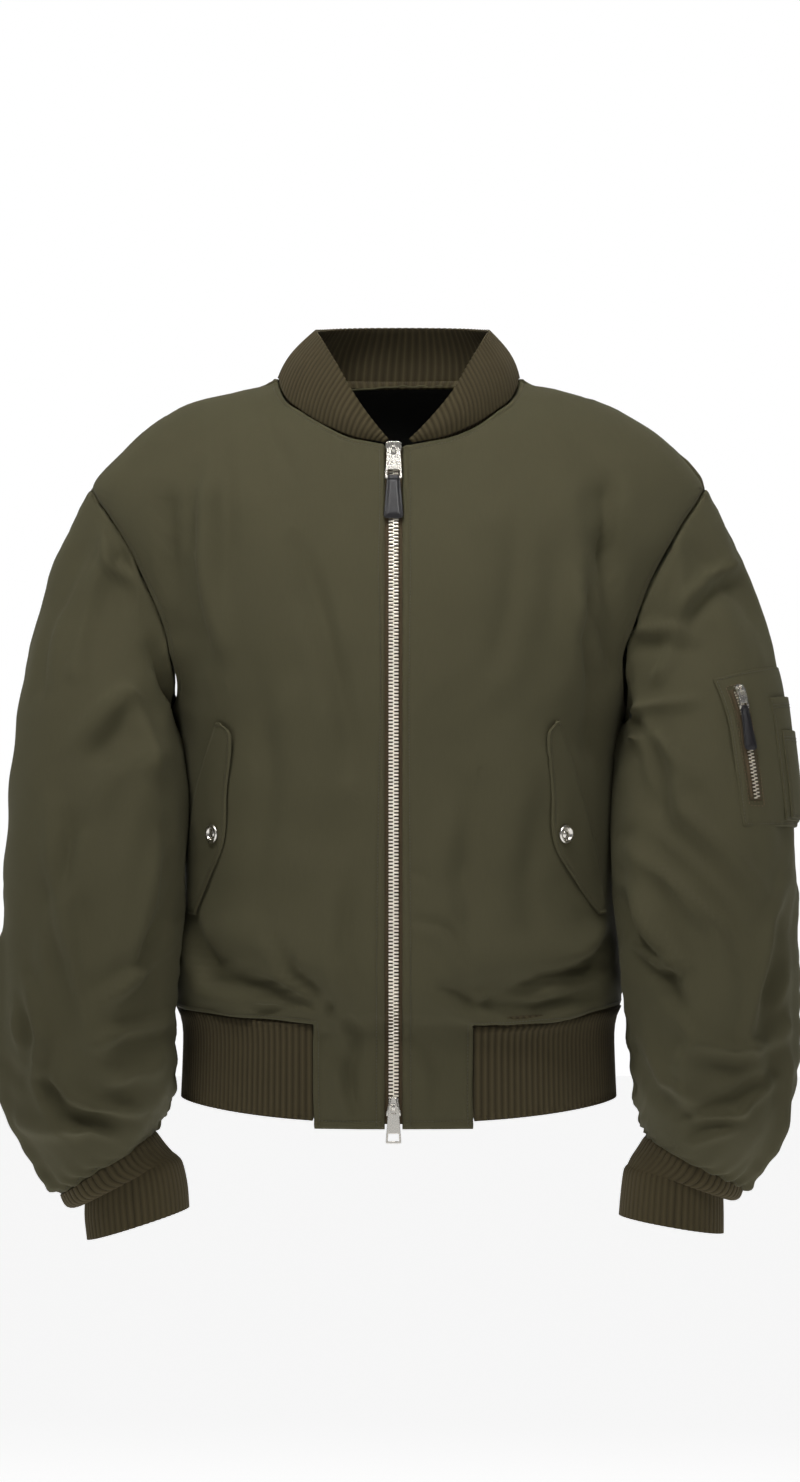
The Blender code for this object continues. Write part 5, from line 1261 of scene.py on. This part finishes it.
def front_axes(x, level, distance):
    """Seats on the fronts (arrays): X across, Y out of the cloth, Z up it."""
    x, level = np.broadcast_arrays(np.asarray(x, dtype=float), np.asarray(level, dtype=float))
    out = torso_normal(torso, False, turn_at(x, level), level)
    across = unit(np.cross(out, np.array((0.0, 0.0, 1.0))) * -1.0)
    return seats(front_out(x, level, distance), across, out, np.cross(across, out))


def tooth_shape(sizes, rounding):
    """One tooth, from its sizes across the zip, along it and through it."""
    bm = bmesh.new()
    bmesh.ops.create_cube(bm, size=1.0, matrix=Matrix.Diagonal((sizes[0], sizes[2], sizes[1], 1.0)))
    bmesh.ops.bevel(bm, geom=bm.edges[:], offset=rounding, segments=2, profile=0.5, affect="EDGES", material=-1)
    return bm


for side, sign in SIDES.items():
    def tape_place(u, v, distance, sign=sign):
        return front_out(ZIP_X + sign * mix(0.0002, TAPE_EDGE, u), mix(CHAIN_TOP, TAPE_LOW, v), distance)
    cut = lay_out(tape_place, np.linspace(0.0, 1.0, 9), np.linspace(0.0, 1.0, 90), lift=-TAPE_BEHIND)
    tape = sew("zip_tape_cloth_" + side, cut, tape_brown, thickness=0.0010)
    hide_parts("zip_tape_" + side)

levels = np.arange(CHAIN_TOP, CHAIN_LOW, -TEETH_PITCH)
rows = [front_axes(ZIP_X + sign * (TOOTH[0] / 2 - 0.0005), levels - shift, CHAIN_PROUD - TOOTH[2] / 2)
        for sign, shift in ((-1.0, 0.0), (1.0, TEETH_PITCH / 2))]
teeth = repeat("zip_teeth_row", tooth_shape(TOOTH, 0.0004), np.concatenate(rows), teeth_metal)
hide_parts("zip_teeth")

# ---- pocket flaps and their snaps ----------------------------------------------------------------
# A slanted flap of doubled cloth over each hand pocket, edge-stitched, tacked at its upper corner
# and held shut by a plain ring snap.
FLAP_LIFT = 0.0012        # gap under a flap
FLAP_EDGE = 0.0038        # its topstitching stands this far in from its free edge
FLAP_TACK = 0.0030        # and this far below its upper corner
FLAPS = {  # share of the way down, level, free edge and sewn edge (distances from the middle)
    "right": (
        (0.00, -0.2750, -0.1385, -0.1425),
        (0.10, -0.2855, -0.1292, -0.1460),
        (0.36, -0.3300, -0.1331, -0.1600),
        (0.62, -0.3700, -0.1358, -0.1660),
        (0.80, -0.4000, -0.1480, -0.1665),
        (1.00, -0.4270, -0.1595, -0.1668),
    ),
    "left": (
        (0.00, -0.2740, 0.1215, 0.1250),
        (0.10, -0.2855, 0.1132, 0.1290),
        (0.36, -0.3300, 0.1168, 0.1430),
        (0.62, -0.3720, 0.1207, 0.1545),
        (0.80, -0.4000, 0.1370, 0.1590),
        (1.00, -0.4270, 0.1550, 0.1620),
    ),
}
SNAPS = {"right": (-0.1430, -0.3627), "left": (0.1275, -0.3627)}
SNAP_PROFILE = (  # from its rim inwards: distance from its axis, how far it stands out
    (0.0072, -0.0012), (0.0075, -0.0004), (0.0074, 0.0004), (0.0068, 0.0011), (0.0060, 0.0013), (0.0052, 0.0010),
    (0.0046, 0.0002), (0.0043, -0.0006), (0.0030, -0.0006), (0.0027, 0.0000), (0.0018, 0.0004), (0.0000, 0.0005),
)


def edge_relief(cut, distance, inset, dip=0.0007, swell=0.0006):
    """A doubled piece's free edge: rounded over, drawn in by its stitching, a little full between."""
    height = -dip * np.exp(-(distance / 0.0009) ** 2) - 0.0005 * np.exp(-((distance - inset) / 0.0009) ** 2)
    return height + swell * np.exp(-((distance - inset / 2) / (inset / 2.6)) ** 2)


def turned_piece(name, profile, seat):
    """A round piece spun from its profile about the seat's Y, which points out of the cloth."""
    bm = bmesh.new()
    path = [bm.verts.new((radius, out, 0.0)) for radius, out in profile]
    edges = [bm.edges.new(pair) for pair in zip(path, path[1:])]
    bmesh.ops.spin(bm, geom=path + edges, cent=(0.0, 0.0, 0.0), axis=(0.0, 1.0, 0.0), angle=2 * math.pi,
                   steps=32, use_merge=True)
    bmesh.ops.remove_doubles(bm, verts=bm.verts[:], dist=0.00001)
    bmesh.ops.holes_fill(bm, edges=[e for e in bm.edges if e.is_boundary], sides=0)
    bmesh.ops.recalc_face_normals(bm, faces=bm.faces[:])
    bmesh.ops.transform(bm, matrix=Matrix(seat), verts=bm.verts[:])
    piece = show(name, bm, silver)
    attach(piece, "jacket")
    return piece


for side in SIDES:
    def flap_place(u, v, distance, side=side):
        level, free, sewn = read(FLAPS[side], v)
        return front_out(mix(free, sewn, u), level, distance)
    cut = lay_out(flap_place, stations(0.0, 1.0, length=0.030, step=0.002, fine=0.0009, margin=0.006),
                  stations(0.0, 1.0, length=0.155, step=0.003, fine=0.0010, margin=0.006), lift=SHELL + FLAP_LIFT)
    nearest = np.minimum(cut.start, np.minimum(cut.top, cut.bottom))
    raise_by(cut, edge_relief(cut, nearest, FLAP_EDGE) + soft_ground(cut.across * 3, cut.down, 0.0004)
             - (FLAP_LIFT + 0.0002) * np.exp(-(cut.end / 0.0030) ** 2))
    flap = sew("pocket_flap_cloth_" + side, cut, olive_cloth, thickness=0.0019, edge=0.0005)
    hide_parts("pocket_flap_" + side)
    stitch("pocket_flap_stitching_" + side, [
        line_on(cut, cut.start, FLAP_EDGE, 0.03, 0.97),
        line_on(cut, cut.top, FLAP_TACK, 0.1, 0.9, run="u"),
    ])
    x, level = SNAPS[side]
    seat = front_axes(x, level, 2 * SHELL + FLAP_LIFT + 0.0008)
    snap = turned_piece("snap_ring_" + side, SNAP_PROFILE, seat)
    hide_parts("snap_" + side)

# ---- zip sliders, pulls and leather tabs ---------------------------------------------------------
# Cast and plated sliders. The top one hangs a flared pull with a black leather tab stitched round its
# lower bar; the bottom one, which opens the zip upwards, has a plain pull with a window.
PULL_THICK = 0.0014
SLIDER_THICK = 0.0026
BRIDGE_TALL = 0.0019      # from a slider's face to its pull's hinge
BRIDGE = (                # middle, from the hinge, and size of its two posts and its arch
    ((0.0, 0.0012, 0.0021), (0.0026, 0.0030, 0.0009)),
    ((0.0, 0.0012, -0.0021), (0.0026, 0.0030, 0.0009)),
    ((0.0, -0.0017, 0.0), (0.0026, 0.0009, 0.0044)),
)
RAIL = (0.0012, 0.0009)   # width and height of a raised rail
RAIL_BEHIND = 0.0018      # how far behind the hinge it lies
LOW_RAILS = ((-0.0047, -0.0064, -0.0018, 0.0066), (0.0047, -0.0064, 0.0018, 0.0066))     # ends: across, up

# height above the hinge, half width, half width of the opening there (0 where there is none)
TOP_PULL = (
    (0.0010, 0.0047, 0.0000), (-0.0008, 0.0049, 0.0021), (-0.0050, 0.0054, 0.0021),
    (-0.0060, 0.0055, 0.0000), (-0.0168, 0.0062, 0.0000), (-0.0176, 0.0063, 0.0046),
    (-0.0232, 0.0068, 0.0050), (-0.0252, 0.0070, 0.0000),
)
LOW_PULL = (
    (0.0010, 0.0037, 0.0000), (-0.0008, 0.0039, 0.0019), (-0.0050, 0.0044, 0.0019),
    (-0.0060, 0.0045, 0.0000), (-0.0202, 0.0055, 0.0000), (-0.0206, 0.0056, 0.0040),
    (-0.0262, 0.0060, 0.0043), (-0.0282, 0.0062, 0.0000),
)
SLEEVE_PULL = (
    (0.0010, 0.0033, 0.0000), (-0.0008, 0.0034, 0.0019), (-0.0050, 0.0037, 0.0019),
    (-0.0060, 0.0037, 0.0000), (-0.0112, 0.0040, 0.0000), (-0.0116, 0.0040, 0.0026),
    (-0.0146, 0.0042, 0.0027), (-0.0157, 0.0043, 0.0000),
)
# height above the slider's middle and half width of its face
TOP_SLIDER = ((0.0062, 0.0040), (0.0050, 0.0060), (0.0020, 0.0064), (-0.0030, 0.0052), (-0.0060, 0.0044))
LOW_SLIDER = ((0.0078, 0.0028), (0.0060, 0.0036), (0.0000, 0.0045), (-0.0050, 0.0058), (-0.0072, 0.0056))
SLEEVE_SLIDER = ((0.0042, 0.0024), (0.0034, 0.0036), (0.0010, 0.0040), (-0.0020, 0.0034), (-0.0042, 0.0028))

black_leather, leather_tree, leather_shader = surface("leather", (0.013, 0.012, 0.014), roughness=0.44,
                                                      specular_ior_level=0.42, coat_weight=0.05)
leather_place = leather_tree.nodes.new("ShaderNodeTexCoord").outputs["Object"]
grain = node(leather_tree, "TexVoronoi", leather_place, None, 1500.0)
pores = node(leather_tree, "TexNoise", leather_place, None, 2600.0, 3.0, 0.6)
leather_relief = node(leather_tree, "Math", grain, pores, operation="ADD")
leather_bump = node(leather_tree, "Bump", 0.35, 0.00012)
leather_tree.links.new(leather_relief, leather_bump.node.inputs["Height"])
leather_tree.links.new(leather_bump, leather_shader.inputs["Normal"])
thread_black, _, _ = surface("black_thread", (0.020, 0.020, 0.022), roughness=0.5)


def pull_seat(joint_name, far_node):
    """A pull's own axes from its hinge: X along the hinge, Y into the cloth, Z up the pull."""
    joint = next(j for j in frame["record"]["behaviour"]["joints"] if j["name"] == joint_name)
    hinge, across = Vector(joint["pos_m"]), -Vector(joint["axis"]).normalized()
    low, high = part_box(far_node)
    up = hinge - (Vector(low) + Vector(high)) / 2
    up = (up - across * up.dot(across)).normalized()
    seat = Matrix((across, up.cross(across), up)).transposed().to_4x4()
    seat.translation = hinge
    return seat


def cast_plate(name, rows, thickness, seat, body, corner=0.0012, round_edge=0.00035):
    """A flat casting from rows of heights, half widths and openings, with its corners rounded."""
    bm = bmesh.new()
    bmesh.ops.create_grid(bm, x_segments=3, y_segments=len(rows) - 1, size=0.5)
    gone = []
    for face in bm.faces:
        middle = face.calc_center_median()
        j = int((middle.y + 0.5) * (len(rows) - 1))
        if abs(middle.x) < 0.1 and rows[j][2] and rows[j + 1][2]:
            gone.append(face)
    for vert in bm.verts:
        i, j = round((vert.co.x + 0.5) * 3), round((vert.co.y + 0.5) * (len(rows) - 1))
        height, half, opening = rows[j]
        opening = opening or max(rows[max(0, j - 1)][2], rows[min(len(rows) - 1, j + 1)][2]) or half / 3
        vert.co = ((-half, -opening, opening, half)[i], 0.0, height)
    bmesh.ops.delete(bm, geom=gone, context="FACES")
    ends = [v for v in bm.verts if len(v.link_edges) == 2
            and min(abs(v.co.z - rows[0][0]), abs(v.co.z - rows[-1][0])) < 1e-6]
    bmesh.ops.bevel(bm, geom=ends, offset=corner, segments=4, profile=0.5, affect="VERTICES", material=-1)
    bmesh.ops.recalc_face_normals(bm, faces=bm.faces[:])
    bmesh.ops.solidify(bm, geom=bm.faces[:], thickness=thickness)
    bmesh.ops.recalc_face_normals(bm, faces=bm.faces[:])
    middle = sum(v.co.y for v in bm.verts) / len(bm.verts)
    bmesh.ops.translate(bm, vec=(0.0, -middle, 0.0), verts=bm.verts[:])
    bmesh.ops.transform(bm, matrix=seat, verts=bm.verts[:])
    piece = show(name, bm, silver)
    round_off(piece, "cast edges", round_edge, 40).harden_normals = True
    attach(piece, body)
    return piece


def slider_body(name, rows, seat, replaced, rails=()):
    """A slider: its face plate, the arched bridge that its pull hangs on, and raised rails."""
    drop = Matrix.Translation((0.0, BRIDGE_TALL + SLIDER_THICK / 2, 0.0))
    face = cast_plate(name, [(z, half, 0.0) for z, half in rows], SLIDER_THICK, seat @ drop, "jacket",
                      corner=0.0009, round_edge=0.0006)
    bm = bmesh.new()
    for place, size in BRIDGE:
        bmesh.ops.create_cube(bm, size=1.0, matrix=Matrix.Translation(place) @ Matrix.Diagonal((*size, 1.0)))
    for x0, z0, x1, z1 in rails:
        middle = Matrix.Translation(((x0 + x1) / 2, RAIL_BEHIND, (z0 + z1) / 2))
        lean = Matrix.Rotation(math.atan2(x1 - x0, z1 - z0), 4, "Y")
        size = Matrix.Diagonal((*RAIL, math.hypot(x1 - x0, z1 - z0), 1.0))
        bmesh.ops.create_cube(bm, size=1.0, matrix=middle @ lean @ size)
    bmesh.ops.bevel(bm, geom=bm.edges[:], offset=0.00035, segments=2, profile=0.5, affect="EDGES", material=-1)
    bmesh.ops.transform(bm, matrix=seat, verts=bm.verts[:])
    bridge = show(name + "_bridge", bm, silver)
    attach(bridge, "jacket")
    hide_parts(replaced)


def leather_tab(name, seat, body, replaced, top, length, half_top, half_low, stitch_in=0.0013):
    """A tab of two layers of leather, full in its middle, stitched round near its edge."""
    across, rows = 16, 36
    bm = bmesh.new()
    bmesh.ops.create_grid(bm, x_segments=across, y_segments=rows, size=0.5)
    front = bm.verts[:]
    made = bmesh.ops.extrude_face_region(bm, geom=bm.faces[:], use_keep_orig=True)
    rear = [part for part in made["geom"] if isinstance(part, bmesh.types.BMVert)]

    def outline(share):
        half = mix(half_top, half_low, share ** 1.1)
        left = (1 - share) * length
        return half - 0.0026 * max(0.0, 1 - left / 0.0026) ** 2.2

    def spot(vert, face):
        u, v = vert.co.x * 2, 0.5 - vert.co.y
        half = outline(v)
        x = half * math.copysign(abs(u) ** 0.85, u)
        inset = min(half - abs(x), (1 - v) * length, v * length + 0.001)
        full = 0.0009 + 0.0009 * min(1.0, max(0.0, (inset - stitch_in) / 0.0028)) ** 0.6
        full -= 0.0004 * math.exp(-((inset - stitch_in) / 0.0005) ** 2) + 0.0004 * math.exp(-(inset / 0.0004) ** 2)
        return Vector((x, face * full, top - v * length))

    for verts, face in ((front, -1.0), (rear, 0.7)):
        for vert in verts:
            vert.co = spot(vert, face)
    bmesh.ops.recalc_face_normals(bm, faces=bm.faces[:])
    bmesh.ops.transform(bm, matrix=seat, verts=bm.verts[:])
    tab = show(name, bm, black_leather)
    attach(tab, body)
    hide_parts(replaced)
    line = []
    for k in range(40):
        share = k / 39 * 0.93 + 0.01
        line.append((stitch_in - outline(share), top - share * length))
    low = top - length + stitch_in
    line += [(mix(line[-1][0], -line[-1][0], k / 12), low) for k in range(1, 12)]
    line += [(-x, z) for x, z in line[39::-1]]
    turned = np.array(seat)
    points = np.array([(x, -0.00098, z) for x, z in line]) @ turned[:3, :3].T + turned[:3, 3]
    out = np.tile(-turned[:3, 1], (len(line), 1))
    stitch(name + "_stitching", [(points, out)], thread_black, pitch=0.0017, thick=0.00022, body=body)


def leather_loop(name, seat, body, bar_low, bar_high, half):
    """The strap that goes round the pull's lower bar and into the tab."""
    clear = PULL_THICK / 2 + 0.0002
    path = [(-clear, bar_low - 0.0016), (-clear, bar_low), (-clear, bar_high)]
    path += [(-clear * math.cos(a), bar_high + clear * math.sin(a)) for a in np.linspace(0.3, math.pi - 0.3, 7)]
    path += [(clear, bar_high), (clear, bar_low), (clear, bar_low - 0.0016)]
    bm = bmesh.new()
    bmesh.ops.create_grid(bm, x_segments=4, y_segments=len(path) - 1, size=0.5)
    for vert in bm.verts:
        y, z = path[round((vert.co.y + 0.5) * (len(path) - 1))]
        vert.co = (vert.co.x * 2 * half, y, z)
    bmesh.ops.recalc_face_normals(bm, faces=bm.faces[:])
    bmesh.ops.transform(bm, matrix=seat, verts=bm.verts[:])
    loop = show(name, bm, black_leather)
    thick = loop.modifiers.new("strap", "SOLIDIFY")
    thick.thickness = 0.0007
    thick.offset = 0.0
    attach(loop, body)


top_seat = pull_seat("top_pull_hinge", "zip_tab_top")
low_seat = pull_seat("bottom_pull_hinge", "zip_pull_bottom")
flat_top = Matrix.Translation(top_seat.translation)
flat_low = Matrix.Translation(low_seat.translation)
slider_body("zip_slider_top_cast", TOP_SLIDER, flat_top, "zip_slider_top")
slider_body("zip_slider_bottom_cast", LOW_SLIDER, flat_low, "zip_slider_bottom", rails=LOW_RAILS)
pull = cast_plate("zip_pull_top_cast", TOP_PULL, PULL_THICK, top_seat, "top_pull")
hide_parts("zip_pull_top")
pull = cast_plate("zip_pull_bottom_cast", LOW_PULL, PULL_THICK, low_seat, "bottom_pull")
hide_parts("zip_pull_bottom")
leather_tab("zip_tab_top_leather", top_seat, "top_pull", "zip_tab_top", top=-0.0254, length=0.0335,
            half_top=0.0052, half_low=0.0080)
leather_loop("zip_tab_top_loop", top_seat, "top_pull", bar_low=-0.0252, bar_high=-0.0234, half=0.0044)

# ---- zipped pocket on the left sleeve ------------------------------------------------------------
# A patch pocket with a slanted metal zip in a stitched slit, and two pen pockets sewn one over the
# other beside it, which bulge and pucker along their lower edge.
PATCH_LIFT = 0.0009       # gap under the pocket sewn on the sleeve
PATCH_STITCH = 0.0022     # its topstitching stands this far in from its edge
MOUTH_STITCH = (0.006, 0.0085)        # two rows at the open mouth of a pen pocket
PEN_STEP = 0.0022         # how far each pen pocket lies over what is under it
TEETH_OVER = 0.0023       # how far the teeth stand over the pocket's cloth
THREAD_OVER = 0.0011      # and the thread round them
SLEEVE_TEETH = 34         # teeth on each side of the pocket's zip
SLEEVE_TOOTH = (0.0027, 0.0011, 0.0016)         # as the main zip's
# corners as (turn round the arm, share down the sleeve): top front, top back, bottom back, bottom front
POCKET = ((0.218, 0.204), (-0.030, 0.232), (-0.030, 0.440), (0.196, 0.432))
POCKET_ZIP = ((0.192, 0.236), (0.180, 0.237), (0.164, 0.400), (0.176, 0.399))
PEN_BACK = ((0.112, 0.262), (-0.020, 0.270), (-0.020, 0.434), (0.100, 0.428))
PEN_FRONT = ((0.094, 0.310), (-0.014, 0.316), (-0.014, 0.430), (0.088, 0.426))

left_sleeve = outward(sleeve_shape("left"), SLEEVE_HEART)


def patch_place(corners):
    """place(u, v, distance) over a patch given by its four corners on the sleeve."""
    def place(u, v, distance):
        (turn_a, down_a), (turn_b, down_b), (turn_c, down_c), (turn_d, down_d) = corners
        turn = mix(mix(turn_a, turn_b, u), mix(turn_d, turn_c, u), v)
        down = mix(mix(down_a, down_b, u), mix(down_d, down_c, u), v)
        return left_sleeve(turn, down, distance)
    return place


def sewn_patch(name, corners, lift, replaced, swell, width, length, open_top=False):
    """A patch edge-stitched to what is under it, full in its middle."""
    cut = lay_out(patch_place(corners), stations(0.0, 1.0, length=width, step=0.003, fine=0.0010, margin=0.005),
                  stations(0.0, 1.0, length=length, step=0.003, fine=0.0010, margin=0.005), lift=lift)
    sides = np.minimum(cut.start, np.minimum(cut.end, cut.bottom))
    nearest = sides if open_top else np.minimum(sides, cut.top)
    full = swell * (1 - np.exp(-(nearest / 0.010) ** 2))
    wrinkle = np.sin(cut.across / 0.0028 + 1.3 * np.sin(cut.across / 0.006)) * np.exp(-cut.bottom / 0.012)
    raise_by(cut, full + 0.0009 * wrinkle * np.clip(nearest / 0.003, 0.0, 1.0)
             + edge_relief(cut, nearest, PATCH_STITCH, dip=0.0009, swell=0.0002))
    patch = sew(name, cut, olive_cloth, thickness=0.0012, edge=0.0004)
    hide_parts(replaced)
    lines = [line_on(cut, cut.start, PATCH_STITCH, 0.02, 0.98), line_on(cut, cut.end, PATCH_STITCH, 0.02, 0.98),
             line_on(cut, cut.bottom, PATCH_STITCH, 0.03, 0.97, run="u")]
    if open_top:
        lines += [line_on(cut, cut.top, inset, 0.03, 0.97, run="u") for inset in MOUTH_STITCH]
    else:
        lines.append(line_on(cut, cut.top, PATCH_STITCH, 0.03, 0.97, run="u"))
    stitch(name + "_stitching", lines)
    return patch


on_patch = SHELL + PATCH_LIFT
patch = sewn_patch("sleeve_pocket_cloth", POCKET, on_patch, "sleeve_pocket", swell=0.0008, width=0.115, length=0.125)
pen = sewn_patch("pen_pocket_back_cloth", PEN_BACK, on_patch + PEN_STEP, "pen_pocket_back", swell=0.0014,
                 width=0.06, length=0.10, open_top=True)
pen = sewn_patch("pen_pocket_front_cloth", PEN_FRONT, on_patch + 2 * PEN_STEP, "pen_pocket_front", swell=0.0012,
                 width=0.05, length=0.07, open_top=True)

zip_line = patch_place(POCKET_ZIP)
teeth_lift = on_patch + TEETH_OVER
steps = np.linspace(0.03, 0.985, SLEEVE_TEETH)
places = []
for sign, shift in ((-1.0, 0.0), (1.0, 0.5)):
    v = (steps + shift * (steps[1] - steps[0]))[None]
    v = v[v < 0.99][None]
    u = np.full(v.shape, 0.5 + sign * 0.21)
    spot = zip_line(u, v, teeth_lift)[0]
    up = unit(zip_line(u, v - 0.01, teeth_lift)[0] - zip_line(u, v + 0.01, teeth_lift)[0])
    out = unit(zip_line(u, v, teeth_lift + 0.001)[0] - spot)
    across = unit(np.cross(out, up))
    places.append(seats(spot, across, out, np.cross(across, out)))
teeth = repeat("sleeve_zip_teeth_row", tooth_shape(SLEEVE_TOOTH, 0.0003), np.concatenate(places), teeth_metal)
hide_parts("sleeve_zip_teeth")
cut = lay_out(zip_line, np.linspace(-0.5, 1.5, 5), np.linspace(-0.01, 1.0, 30), lift=teeth_lift - 0.0009)
sew("sleeve_zip_tape", cut, tape_brown, thickness=0.0006)

thread_brown, _, _ = surface("brown_thread", (0.120, 0.072, 0.034), roughness=0.6)
runs = []
for us, vs in (((-0.75, -0.75), (-0.05, 1.04)), ((1.75, 1.75), (-0.05, 1.04)),
               ((-0.70, 1.70), (-0.055, -0.055)), ((-0.70, 1.70), (1.045, 1.045)), ((-0.10, 1.10), (1.015, 1.015))):
    u, v = np.linspace(*us, 24)[None], np.linspace(*vs, 24)[None]
    line = zip_line(u, v, on_patch + THREAD_OVER)[0]
    runs.append((line, unit(zip_line(u, v, on_patch + THREAD_OVER + 0.001)[0] - line)))
stitch("sleeve_zip_stitching", runs, thread_brown)

sleeve_seat = pull_seat("pocket_pull_hinge", "sleeve_tab")
slider_body("sleeve_slider_cast", SLEEVE_SLIDER, sleeve_seat, "sleeve_slider")
pull = cast_plate("sleeve_pull_cast", SLEEVE_PULL, PULL_THICK, sleeve_seat, "pocket_pull", corner=0.0008)
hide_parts("sleeve_pull")
leather_tab("sleeve_tab_leather", sleeve_seat, "pocket_pull", "sleeve_tab", top=-0.0159, length=0.0340,
            half_top=0.0034, half_low=0.0056)
leather_loop("sleeve_tab_loop", sleeve_seat, "pocket_pull", bar_low=-0.0157, bar_high=-0.0148, half=0.0025)
